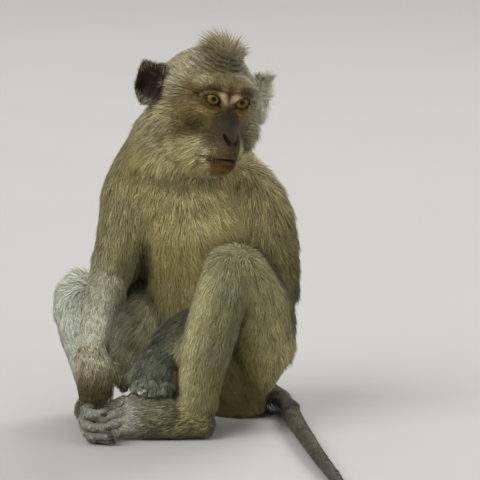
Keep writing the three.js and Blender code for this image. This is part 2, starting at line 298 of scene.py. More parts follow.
headBalls = [  # middle (forwards, left, up), half sizes, nose-down tilt in degrees, mirrored
    ((-5, 0, 1), (41, 39.5, 33.5), 0, False),  # braincase
    ((8, 0, 14), (27, 28, 21), 0, False),  # forehead
    ((36, 0, 8), (14.5, 29, 11), 0, False),  # brow
    ((25, 0, -15), (27.5, 30.5, 24.5), 0, False),  # sockets and cheekbones
    ((43.5, 0, -39), (30.0, 15.2, 18.5), 26, False),  # muzzle
    ((48, 0, -60), (21.5, 12.6, 12.5), 0, False),  # lower jaw and chin
    ((18, 0, -62), (25, 18, 15), 0, False),  # throat
    ((24, 12, -46), (16, 11, 14), 0, True),  # behind the corner of the mouth
    ((-9, 28, -35), (24, 20, 23), 0, True),  # cheek
    ((10, 16, -47), (25, 17, 20), 0, True),  # under the cheek
    ((-13, 40, -6), (10, 7.5, 12), 0, True),  # root of the ear
]
faceBumps = [  # height, then middle and spread across and up; all in mm and mirrored
    (2.6, 13, 8.4, 11, 3.2),  # brow ridge
    (1.0, 0, 7, 5, 4),  # between the brows
    (-4.8, 15.5, -4.0, 9.5, 6.6),  # eye socket
    (-1.3, 6.5, -7, 3, 3.5),  # inner corner
    (1.4, 0, -14, 4.2, 12),  # bridge of the nose
    (1.9, 0, -37, 5.0, 3.8),  # tip of the nose
    (1.3, 6.2, -36.5, 2.4, 3.0),  # wing of the nostril
    (1.2, 7, -49.5, 6, 4.5),  # upper lip
    (0.9, 5, -55.6, 9, 1.5),  # edge of the upper lip
    (1.1, 5, -60.2, 9, 2.0),  # edge of the lower lip
    (1.0, 0, -70, 8, 5),  # chin
    (1.6, 24, -17, 7, 5),  # cheekbone
    (-1.4, 21, -33, 6, 7),  # hollow behind the muzzle
]
faceFolds = [  # depth and half width, then the line's points across and up; mirrored
    (3.0, 1.2, [(0, -56.6), (5, -57.3), (9, -58.6), (12, -59.6), (14.5, -59.2)]),  # mouth
    (4.2, 1.25, [(7.0, -34.8), (5.6, -38.2), (2.6, -42.0)]),  # nostril
    (1.8, 1.7, [(6.4, -36.6), (5.2, -38.8)]),
    (0.5, 0.8, [(0, -43.5), (0, -53)]),  # under the nose
    (0.9, 1.5, [(8.5, -31), (11.5, -40), (15.5, -50)]),  # from the nose to the mouth's corner
    (0.8, 0.8, [(7.5, -11.2), (12, -13.4), (17, -13.2), (22.5, -10)]),  # under the eye
    (0.6, 0.9, [(7, -15), (13, -17.8), (20, -17.2), (26, -13)]),
    (0.9, 0.7, [(7.6, -0.4), (11, 2.4), (16, 3.4), (21, 2.0), (24.5, -1.6)]),  # over the upper lid
    (0.5, 0.8, [(2.4, 8.5), (2.0, 2.5)]),  # frown
]
eyePlan = {
    "radius": 9.0,
    "lid": 1.15,  # thickness
    "outwards": 9.0,  # degrees by which the opening faces to the side
    "upwards": 1.0,
    "slant": 15.0,  # degrees by which the inner corner is the lower one
    "half": (8.2, 4.3, 4.2),  # of the opening: width, upper height, lower height
    "raised": 1.7,  # over the solids' eyes
}
faceLean = 3.4  # mm by which nose, mouth and chin lie to the left of the plane between the eyes
headGrid = {
    "sides": 248, "rings": 126, "denseRings": 92, "denseTo": 62.0,  # degrees from straight ahead
    "halvings": 18,
}


def toLeft(p):  # how far the face leans to the left at each place, in head axes
    return faceLean * ramp(-p[:, 2], 8, 36) * ramp(p[:, 0], 20, 50)


def headReach(ways):
    # How far along each ray from the middle the sum over the balls of exp(blend * (1 - distance / size))
    # falls to 1, found by halving.
    start = np.array(headPlan["middle"])
    near, far = np.full(len(ways), 5.0), np.full(len(ways), 130.0)
    balls = [(np.array(m, float), h, t) for m, h, t, _ in headBalls]
    balls += [(np.array(m, float) * (1, -1, 1), h, t) for m, h, t, mirror in headBalls if mirror]
    for _ in range(headGrid["halvings"]):
        middle = (near + far) / 2
        p = start + ways * middle[:, None]
        field = np.zeros(len(ways))
        for at, half, tilt in balls:
            d = p - at
            c, s = math.cos(math.radians(tilt)), math.sin(math.radians(tilt))
            q = np.stack([d[:, 0] * c - d[:, 2] * s, d[:, 1], d[:, 0] * s + d[:, 2] * c], 1) / half
            field += np.exp(headPlan["blend"] * (1 - np.linalg.norm(q, axis=1)))
        near, far = np.where(field > 1, middle, near), np.where(field > 1, far, middle)
    return near


def lineDistance(x, y, points):  # from each (x, y) to a broken line
    best = np.full(len(x), 1e9)
    for (x0, y0), (x1, y1) in zip(points, points[1:]):
        dx, dy = x1 - x0, y1 - y0
        t = np.clip(((x - x0) * dx + (y - y0) * dy) / (dx * dx + dy * dy), 0, 1)
        best = np.minimum(best, np.hypot(x - x0 - t * dx, y - y0 - t * dy))
    return best


def eyeAxes(way):  # way 1 is the left eye; rows: outwards, to the side, up along the slanted opening
    turn, lift = math.radians(eyePlan["outwards"]) * way, math.radians(eyePlan["upwards"])
    out = np.array([math.cos(turn) * math.cos(lift), math.sin(turn) * math.cos(lift), math.sin(lift)])
    side = unit(np.cross([0, 0, 1.0], out)) * way
    up = np.cross(out, side) * way
    slant = math.radians(eyePlan["slant"])
    return np.stack([out, side * math.cos(slant) + up * math.sin(slant),
                     up * math.cos(slant) - side * math.sin(slant)])


def eyeLevel(v, way):
    # Millimetres inside the opening's edge, at v from the eyeball's middle. The opening is two arcs.
    _, across, up = (v @ eyeAxes(way).T).T
    width, top, bottom = eyePlan["half"]
    arch = np.clip(1 - (across / width) ** 2, -1, 1)
    arch = np.sign(arch) * np.abs(arch) ** 0.8
    return np.minimum(top * arch - up, up + bottom * arch)


def eyeAt(way):
    return np.array([headPlan["eyeForward"],
                     way * np.linalg.norm(eyeMiddles["left"] - eyeMiddles["right"]) / 2 / mm,
                     headPlan["eyeUp"] + eyePlan["raised"]])


def sphereExit(ways, at, radius):  # along each ray from the head's middle, or far behind it where it misses
    to = at - np.array(headPlan["middle"])
    along = ways @ to
    room = along**2 - (to @ to - radius**2)
    return np.where(room > 0, along + np.sqrt(np.maximum(room, 0)), -50.0)


def headSkin():
    g = headGrid
    dense = np.linspace(0.4, g["denseTo"], g["denseRings"])
    rest = np.linspace(0, 1, g["rings"] - g["denseRings"] + 1)[1:]
    rest = g["denseTo"] + (178 - g["denseTo"]) * (0.55 * rest + 0.45 * rest**2)
    bend = np.radians(np.concatenate([dense, rest]))[:, None]
    spin = np.linspace(0, 2 * np.pi, g["sides"], endpoint=False)[None]
    ways = np.stack([np.cos(bend) + 0 * spin, np.sin(bend) * np.cos(spin), np.sin(bend) * np.sin(spin)], -1)
    ways = ways.reshape(-1, 3)
    reach = headReach(ways)
    p = np.array(headPlan["middle"]) + ways * reach[:, None]
    across, up = np.abs(p[:, 1]), p[:, 2]
    face = ramp(p[:, 0], 24, 36)
    for height, x, y, sx, sy in faceBumps:
        reach = reach + height * face * bell(across, x, sx) * bell(up, y, sy)
    for depth, width, line in faceFolds:
        reach = reach - depth * face * bell(lineDistance(across, up, line), 0, width)
    for way in (1, -1):
        at = eyeAt(way)
        lid = sphereExit(ways, at, eyePlan["radius"] + eyePlan["lid"])
        inner = sphereExit(ways, at, eyePlan["radius"] - 1.6)
        level = eyeLevel(np.array(headPlan["middle"]) + ways * np.maximum(lid, 0)[:, None] - at, way)
        level = np.where(lid > 0, level, -9)
        edge = reach + 1.0 * np.logaddexp(0, (lid - reach) / 1.0)  # soft maximum of the face and the lids
        reach = np.where(lid > 0, edge + (inner - edge) * ramp(level, -0.35, 0.45), reach)
    p = np.array(headPlan["middle"]) + ways * reach[:, None]
    p[:, 1] += toLeft(p)
    rings = p.reshape(g["rings"], g["sides"], 3)
    return shell(fromHead(rings), fromHead(rings[0].mean(0)), fromHead(rings[-1].mean(0)))


# the skin's ears

earPlan = {
    "height": 40.0, "width": 27.0, "thick": 2.2, "cup": 6.0, "turn": 42.0, "lean": 4.0,
    "shift": (1.5, 2.8, -1.2),  # of the outline's middle from the middle of the node's corners
}


def earOutline(angle):  # a round ear with its two upper corners drawn out
    return 1 + 0.36 * bell(angle, 2.28, 0.34) + 0.24 * bell(angle, 0.85, 0.42) - 0.1 * bell(angle, 4, 0.6)


def earPlace(local, way):  # ear axes (to the head, open side, up) to the frame
    turn, lean = math.radians(-90 - earPlan["turn"]), math.radians(earPlan["lean"])
    x = local[..., 0] * math.cos(turn) - local[..., 1] * math.sin(turn)
    y = local[..., 0] * math.sin(turn) + local[..., 1] * math.cos(turn)
    y, z = (y * math.cos(lean) + local[..., 2] * math.sin(lean),
            local[..., 2] * math.cos(lean) - y * math.sin(lean))
    middle = toHead(nodeMiddle["ear_left" if way > 0 else "ear_right"])
    shift = np.array(earPlan["shift"]) * (1, way, 1)
    return fromHead(middle + shift + np.stack([x, -way * y, z], -1))


def toEar(points, way):  # the way back from earPlace
    turn, lean = math.radians(-90 - earPlan["turn"]), math.radians(earPlan["lean"])
    middle = toHead(nodeMiddle["ear_left" if way > 0 else "ear_right"])
    q = toHead(points) - middle - np.array(earPlan["shift"]) * (1, way, 1)
    x, y, z = q[:, 0], -way * q[:, 1], q[:, 2]
    y, z = y * math.cos(lean) - z * math.sin(lean), z * math.cos(lean) + y * math.sin(lean)
    return np.stack([x * math.cos(turn) + y * math.sin(turn), y * math.cos(turn) - x * math.sin(turn), z], 1)


def earSkin(way):
    # Cup: share of the outline by angle; the front has a rolled rim, a ridge inside it and a deep hollow.
    angle = np.linspace(0, 2 * np.pi, 72, endpoint=False)[None]
    share = np.linspace(0.05, 1, 24)[:, None]
    x = earPlan["width"] / 2 * earOutline(angle) * share * np.cos(angle)
    z = earPlan["height"] / 2 * earOutline(angle) * share * np.sin(angle)
    hollow = -earPlan["cup"] * (1 - share**2)
    wall = earPlan["thick"] / 2 * np.sqrt(np.maximum(0, 1 - share**8))
    rim = 1.5 * bell(share, 0.93, 0.06) * (0.4 + 0.6 * ramp(np.sin(angle) - np.cos(angle), -1, 0.6))
    ridge = 2.6 * bell(x + 3 + 0.004 * z**2, 0, 1.9) * bell(z, 1, 12) * ramp(share, 0.05, 0.3)
    ridge = ridge + 1.4 * bell(z - 9 - 0.3 * x, 0, 1.6) * bell(x, 0, 6)
    pit = -3.2 * bell(x, 5.5, 3.6) * bell(z, -4, 8)
    tongue = 2.4 * bell(x, 11.5, 2.0) * bell(z, -5, 4)
    front = np.stack([x, hollow + wall + rim + ridge + pit + tongue, z], -1)
    back = np.stack([x, hollow - wall - 0.35 * rim + np.minimum(pit, 0) * 0.8, z], -1)[::-1][1:]
    rings = earPlace(np.concatenate([front, back]), way)
    return shell(rings, rings[0].mean(0), rings[-1].mean(0))


# the skin's hands and feet

extremities = {
    # In mm from the low corner of the node's box. Stops run along the palm or sole: place, half width and
    # half thickness. Digits start with the thumb; half is their half width.
    "hand_right": {
        "across": (0.95, 0.3, 0), "half": 5.0,
        "stops": [(15.9, 35.6, 86.1, 13.9, 10.2), (20.9, 27.6, 65.1, 17.4, 10.8),
                  (21.9, 23.6, 45.1, 15.4, 8.8)],
        "digits": [
            [(34, 34, 71), (43, 38, 59), (48, 40, 50)],
            [(20, 22, 43), (13, 14, 33), (17, 7, 31), (30, 4, 32)],
            [(18, 24, 39), (10, 18, 23), (14, 9, 19), (34, 4, 18)],
            [(21, 26, 35), (12, 22, 14), (16, 12, 10), (36, 7, 10)],
            [(24, 30, 33), (16, 26, 7), (20, 17, 4), (38, 11, 4)],
        ],
    },
    "hand_left": {
        "across": (0.85, -0.4, 0.35), "half": 4.9,
        "stops": [(39.4, 23.7, 55.4, 17.9, 11.2), (31.4, 18.7, 39.4, 18.4, 10.8),
                  (25.4, 19.7, 27.4, 16.4, 6.8)],
        "digits": [
            [(17, 16, 41), (8, 12, 31), (3, 12, 23)],
            [(39, 14, 35), (43, 7, 25), (42, 14, 16), (38, 26, 8)],
            [(31, 13, 33), (33, 5, 23), (32, 13, 14), (29, 28, 6)],
            [(23, 13, 33), (23, 5, 23), (22, 14, 13), (20, 34, 3)],
            [(17, 18, 33), (13, 10, 23), (12, 20, 13), (13, 40, 3)],
        ],
    },
    "foot_left": {
        "across": (0, 0.25, 0.97), "half": 5.7,
        "stops": [(109.7, 28.2, 14.3, 12.4, 12.8), (89.7, 27.2, 19.3, 18.4, 12.8),
                  (65.7, 25.2, 19.3, 17.4, 11.8), (36.7, 23.2, 22.3, 19.4, 9.8)],
        "digits": [
            [(82, 37, 31), (76, 47, 35), (68, 53, 31), (60, 53, 25)],
            [(78, 19, 31), (39, 26, 37), (24, 21, 33), (12, 15, 28), (4, 11, 23)],
            [(80, 17, 26), (38, 21, 28), (24, 15, 26), (12, 9, 21), (4, 6, 17)],
            [(80, 17, 19), (37, 18, 19), (23, 11, 17), (13, 6, 13), (6, 4, 10)],
            [(78, 19, 12), (35, 17, 11), (24, 10, 8), (15, 6, 5), (9, 4, 4)],
        ],
    },
    "foot_right": {
        "across": (1, 0.1, 0.25), "half": 5.7,
        "stops": [(14.3, 79.5, 12.9, 12.4, 11.8), (15.3, 63.5, 14.9, 14.4, 12.8),
                  (20.3, 43.5, 12.9, 15.4, 9.8), (24.3, 23.5, 10.9, 15.4, 8.8)],
        "digits": [
            [(34, 53, 14), (43, 45, 12), (49, 35, 8), (53, 27, 6)],
            [(35, 20, 10), (36, 11, 10), (36, 7, 6)],
            [(28, 18, 10), (29, 8, 10), (29, 4, 6)],
            [(20, 19, 10), (20, 10, 10), (20, 6, 6)],
            [(13, 23, 9), (12, 15, 9), (12, 11, 6)],
        ],
    },
}
digitForm = {  # shares of the half width, and the spacing of the wrinkles in mm
    "taper": 0.24, "knuckle": 0.15, "waist": 0.08, "pad": 0.08, "wrinkle": 0.035, "apart": 2.6,
}
backsOfHands = {  # the hairy side
    "hand_right": (-0.6, -0.8, 0.1), "hand_left": (0.1, -0.85, 0.5), "foot_left": (0.0, -0.9, 0.45),
    "foot_right": (0.0, -0.2, 1.0),
}
nailPlan = {
    "half": (2.7, 4.1, 0.7),  # mm: across, along and thick
    "colour": (46, 40, 34), "tip": (92, 84, 70),
}


def digitStops(name, joints):
    # The digit's line at even places. Its half width swells and wrinkles at each joint, with a tip pad.
    corner = np.array(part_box(name)[0])
    t = np.linspace(0, 1, 60)
    line = smoothPath(np.array(joints, float), t) * mm + corner
    last = len(joints) - 1
    bend = sum(bell(t * last, k, 0.2) for k in range(1, last))
    run = np.linalg.norm(np.diff(line, axis=0, prepend=line[:1]), axis=1).cumsum() / mm
    size = (1 - digitForm["taper"] * t + digitForm["knuckle"] * bend
            - digitForm["waist"] * np.sin(t * last * np.pi) ** 2)
    size = size + digitForm["wrinkle"] * bend * np.sin(run * 2 * np.pi / digitForm["apart"])
    half = extremities[name]["half"] * mm * (size + digitForm["pad"] * bell(t, 0.93, 0.1))
    return np.column_stack([line, half, half * 0.93])


def unioned(first, others):  # closed shapes run into one; the others are taken away
    for other in others:
        union = first.modifiers.new("union", "BOOLEAN")
        union.operation, union.solver, union.object = "UNION", "MANIFOLD", other
    finished(first)
    for other in others:
        bpy.data.objects.remove(other)
    return first


def extremitySkin(name):
    plan = extremities[name]
    corner = np.append(np.array(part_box(name)[0]), (0, 0))
    palm = objectFrom(name + "_skin",
                      *tube(np.array(plan["stops"], float) * mm + corner, plan["across"], 40, 36))
    digits = [objectFrom("digit", *tube(digitStops(name, joints), (0, 0.3, 1), 60, 18))
              for joints in plan["digits"]]
    obj = unioned(palm, digits)
    points = spread(pointsOf(obj.data), edgesOf(obj.data), 2, 0.4)
    points[:, 2] = np.maximum(points[:, 2], 0.4 * mm)
    setPoints(obj.data, points)
    return obj


# the skin's trunk, neck, limbs and tail: the frame's solids run together and sunk by the coat's depth

coatDepth = {  # mm from the solids' outline to the skin
    "trunk": 6.5, "neck": 12.5, "upper_arm": 6.5, "forearm": 4.5, "thigh": 7.0, "shin": 5.0, "hand": 1.5,
    "foot": 1.5, "tail": 2.6, "tail_1": 1.4, "thigh_right": 1.0, "upper_arm_right": 4.2,
}
bodyPlan = {"voxel": 3.3, "grow": 0.7, "evenRounds": 26}  # mm, mm, and rounds of smoothing


def kindOf(name):  # "upper_arm_left" is an "upper_arm"
    sided = name.rsplit("_", 1)[-1] in ("left", "right", "1", "2", "3", "4", "5")
    return name.rsplit("_", 1)[0] if sided else name


# The neck's bone runs from the head to the shoulders, whose height and the bone's radius are in metres.
neckBone = {"under": 20, "shoulders": 0.235, "radius": 0.048}
bones["neck"] = (headCentre - headUp * neckBone["under"] * mm,
                 nodeMiddle["neck"] * (1, 1, 0) + np.array([0, 0, neckBone["shoulders"]]), neckBone["radius"])
boneNames = list(bones)


def boneReading(points):
    # For each point and each bone: the distance over the bone's radius, and the share of the way along it.
    near, along = np.empty((len(points), len(boneNames))), np.empty((len(points), len(boneNames)))
    for k, name in enumerate(boneNames):
        start, end, radius = bones[name]
        way = end - start
        t = (points - start) @ way / (way @ way)
        along[:, k] = t
        near[:, k] = np.linalg.norm(points - start - np.clip(t, 0, 1)[:, None] * way, axis=1) / radius
    return near, along


def boneWeights(near, sharpness=7.0):  # they fall off with distance and add up to 1
    weight = np.exp(-sharpness * (near - near.min(1, keepdims=True)))
    return weight / weight.sum(1, keepdims=True)


def bodySkin():
    parts = []
    for name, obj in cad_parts.items():
        if kindOf(name) in ("eye", "head", "ear", "hand", "foot"):
            continue
        corners, back = np.unique(np.round(nodePoints[name], 6), axis=0, return_inverse=True)
        triangles = back.reshape(-1)[trianglesOf(obj.data)]
        parts.append((corners + normalsOf(corners, triangles) * bodyPlan["grow"] * mm, triangles))
    obj = remeshed("body_skin", *joined(parts), bodyPlan["voxel"] * mm)
    edges, triangles = edgesOf(obj.data), trianglesOf(obj.data)
    points = spread(pointsOf(obj.data), edges, bodyPlan["evenRounds"], 0.5, 0.52)
    weights = boneWeights(boneReading(points)[0])
    depth = weights @ np.array([coatDepth.get(name, coatDepth[kindOf(name)]) for name in boneNames])
    depth = spread(depth[:, None] + bodyPlan["grow"], edges, 12)
    points = points - spread(normalsOf(points, triangles), edges, 3) * depth * mm
    setPoints(obj.data, spread(points, edges, 6, 0.5, 0.52))
    return obj


# one skin

def mark(obj, number):  # which part a face comes from, kept through the join
    layer = obj.data.attributes.new("part", "INT", "FACE")
    layer.data.foreach_set("value", np.full(len(obj.data.polygons), number, np.int32))
    return obj


skinParts = {
    "body": 0, "head": 1, "ear_left": 2, "ear_right": 3, "hand_left": 4, "hand_right": 5,
    "foot_left": 6, "foot_right": 7,
}
seamPlan = {"reach": 14, "rounds": 60}  # how many steps along the mesh the joins are eased, and how often
napePlan = {
    "from": -24, "to": 6, "high": 50,  # mm behind the neck's middle, and the spread over its height
    "rounds": 260, "soften": 4,
    "kept": (8, 38, -18), "keptFrom": 28, "keptTo": 46,  # round the left whiskers the head stays as it is
}


def eased(points, edges, part):
    # Points near a join move to their neighbours' mean, most at the join; the ears' thin walls are left.
    differ = (part[edges[:, 0]] != part[edges[:, 1]]) & (part[edges] != 2).all(1) & (part[edges] != 3).all(1)
    share = np.zeros((len(points), 1))
    share[edges[differ].ravel()] = 1
    share = np.clip(spread(share, edges, seamPlan["reach"]) * 5, 0, 1)
    for _ in range(seamPlan["rounds"]):
        points = points + (spread(points, edges, 1) - points) * share
    return points


def easedNape(points, edges, part):
    # The folds behind the neck are drawn out towards the neighbours' mean, by a ramp of the depth times a
    # bell of the height.
    off = (points - nodeMiddle["neck"]) / mm
    share = ramp(off[:, 1], napePlan["from"], napePlan["to"]) * bell(off[:, 2], 0, napePlan["high"])
    kept = np.linalg.norm(points - fromHead(np.array([napePlan["kept"]], float)), axis=1)
    share *= ramp(kept, napePlan["keptFrom"] * mm, napePlan["keptTo"] * mm)
    share = spread((share * (part <= skinParts["head"]))[:, None], edges, napePlan["soften"])
    for _ in range(napePlan["rounds"]):
        points = points + (spread(points, edges, 1) - points) * share
    return points


def partOfPoints(skin):  # the skin part that each point belongs to
    partOfFace = np.empty(len(skin.data.polygons), np.int32)
    skin.data.attributes["part"].data.foreach_get("value", partOfFace)
    corner = np.empty(len(skin.data.loops), np.int32)
    skin.data.loops.foreach_get("vertex_index", corner)
    total = np.empty(len(skin.data.polygons), np.int32)
    skin.data.polygons.foreach_get("loop_total", total)
    part = np.zeros(len(skin.data.vertices), int)
    part[corner] = np.repeat(partOfFace, total)
    return part


def wholeSkin():
    skin = mark(bodySkin(), skinParts["body"])
    others = [mark(objectFrom("head_skin", *headSkin()), skinParts["head"])]
    for way, side in ((1, "left"), (-1, "right")):
        others.append(mark(objectFrom("ear_skin_" + side, *earSkin(way)), skinParts["ear_" + side]))
    for name in extremities:
        others.append(mark(extremitySkin(name), skinParts[name]))
    print("skin parts:", len(skin.data.polygons), [(o.name, len(o.data.polygons)) for o in others])
    skin = unioned(skin, others)
    edges, part = edgesOf(skin.data), partOfPoints(skin)
    setPoints(skin.data, easedNape(eased(pointsOf(skin.data), edges, part), edges, part))
    skin.name = "skin"
    return skin


skin = wholeSkin()
skinPoints, skinTriangles = pointsOf(skin.data), trianglesOf(skin.data)
skinNormals = normalsOf(skinPoints, skinTriangles)
print("skin:", len(skinPoints), "points,", len(skinTriangles), "triangles")


# the eyes

eyeLook = {
    "turn": 8.0,  # degrees by which both look to the animal's right of straight ahead
    "lift": 5.0,
    "iris": 6.1, "pupil": 2.1, "ring": 1.1,  # mm: radius of the iris and pupil, width of the dark edge
    "bulge": 0.55, "bulgeSpread": 4.2,  # of the cornea, in mm
    "irisColour": (102, 90, 16), "irisInner": (72, 56, 9), "ringColour": (26, 20, 9),
    "pupilColour": (7, 6, 4), "whiteColour": (50, 38, 25),
}


def eyeball(way, side):
    # A sphere whose pole looks ahead; rows by the angle from the pole, the cornea a little proud of it.
    turn, lift = math.radians(eyeLook["turn"]), math.radians(eyeLook["lift"])
    look = np.array([math.cos(turn) * math.cos(lift), -math.sin(turn) * math.cos(lift), math.sin(lift)])
    sideWay = unit(np.cross([0, 0, 1.0], look))
    upWay = np.cross(look, sideWay)
    bend = np.concatenate([np.linspace(0.02, 0.9, 44), np.linspace(0.95, 3.1, 30)])[:, None]
    spin = np.linspace(0, 2 * np.pi, 96, endpoint=False)[None]
    rise = bell(np.sin(bend) * eyePlan["radius"], 0, eyeLook["bulgeSpread"]) * (bend < 1.6)
    radius = eyePlan["radius"] + eyeLook["bulge"] * rise
    ahead, off = np.cos(bend) * radius, np.sin(bend) * radius
    rings = (ahead[..., None] * look + (off * np.cos(spin))[..., None] * sideWay
             + (off * np.sin(spin))[..., None] * upWay)
    rings = fromHead(eyeAt(way) + rings)
    obj = objectFrom("eyeball_" + side, *shell(rings, rings[0].mean(0), rings[-1].mean(0)))
    reach = np.repeat((np.sin(bend) * eyePlan["radius"] + 20 * (bend > 1.5)).ravel(), 96)
    turnHere = np.tile(spin.ravel(), len(bend))
    streak = 0.5 + 0.5 * np.sin(turnHere * 23 + np.sin(turnHere * 7) * 2 + reach * 0.6)
    streak = streak * 0.6 + 0.4 * (0.5 + 0.5 * np.sin(turnHere * 41 + 1.3))
    iris = linear(eyeLook["irisInner"]) + (linear(eyeLook["irisColour"]) - linear(eyeLook["irisInner"])) * (
        ramp(reach, 2.2, 4.2) * 0.75 + 0.25)[:, None]
    iris = iris * (0.62 + 0.55 * streak)[:, None]
    edge = ramp(reach, eyeLook["iris"] - eyeLook["ring"], eyeLook["iris"])[:, None]
    white = ramp(reach, eyeLook["iris"] + 0.1, eyeLook["iris"] + 0.8)[:, None]
    hole = 1 - ramp(reach, eyeLook["pupil"] - 0.25, eyeLook["pupil"] + 0.25)[:, None]
    colour = iris + (linear(eyeLook["ringColour"]) - iris) * edge
    colour = colour + (linear(eyeLook["whiteColour"]) - colour) * white
    colour = colour + (linear(eyeLook["pupilColour"]) - colour) * hole
    ends = np.vstack([linear(eyeLook["pupilColour"])[None], linear(eyeLook["whiteColour"])[None]])
    addColour(obj.data, "paint", np.vstack([colour, ends]))
    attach(obj, "root")
    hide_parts("eye_" + side)
    return obj


eyes = [eyeball(1, "left"), eyeball(-1, "right")]
print("eyes made")


# the nails

def nailShape(name, joints):
    # A thin cushion bent over the digit: an ellipsoid whose points drop by the square of their place across.
    stops = digitStops(name, joints)
    tip, half = stops[-1, :3], stops[-1, 3]
    along = unit(stops[-1, :3] - stops[-8, :3])
    last = np.array(joints[-3:], float)
    out = unit(last[1] - last[0] - (last[2] - last[1])) * 0.9 + unit(np.array(backsOfHands[name])) * 0.7
    out = unit(out - (out @ along) * along)
    across = np.cross(along, out)
    wide, run, thick = np.array(nailPlan["half"]) * mm
    bend = np.linspace(0.06, np.pi - 0.06, 14)[:, None, None]
    turn = np.linspace(0, 2 * np.pi, 20, endpoint=False)[None, :, None]
    x = wide * np.sin(bend) * np.cos(turn)
    y = -run * np.cos(bend) + 0 * turn
    z = thick * np.sin(bend) * np.sin(turn) - x**2 / (2 * half) - np.maximum(y, 0) ** 2 / (7 * half)
    middle = tip + along * 0.1 * half + out * half * 0.93
    rings = middle + x * across + y * along + z * out
    return shell(rings, rings[0].mean(0), rings[-1].mean(0))


def allNails():
    shapes = [nailShape(name, joints) for name, plan in extremities.items() for joints in plan["digits"]]
    nails = objectFrom("nails", *joined(shapes))
    rows = np.repeat(np.linspace(0, 1, 14), 20)
    root, tip = linear(nailPlan["colour"]), linear(nailPlan["tip"])
    each = root + (tip - root) * ramp(rows, 0.72, 0.95)[:, None]
    each = np.vstack([each, root[None], tip[None]])
    addColour(nails.data, "paint", np.tile(each, (len(shapes), 1)))
    return nails


nails = allNails()
print("nails made")


# how the coat lies and looks, one row for each place on the head

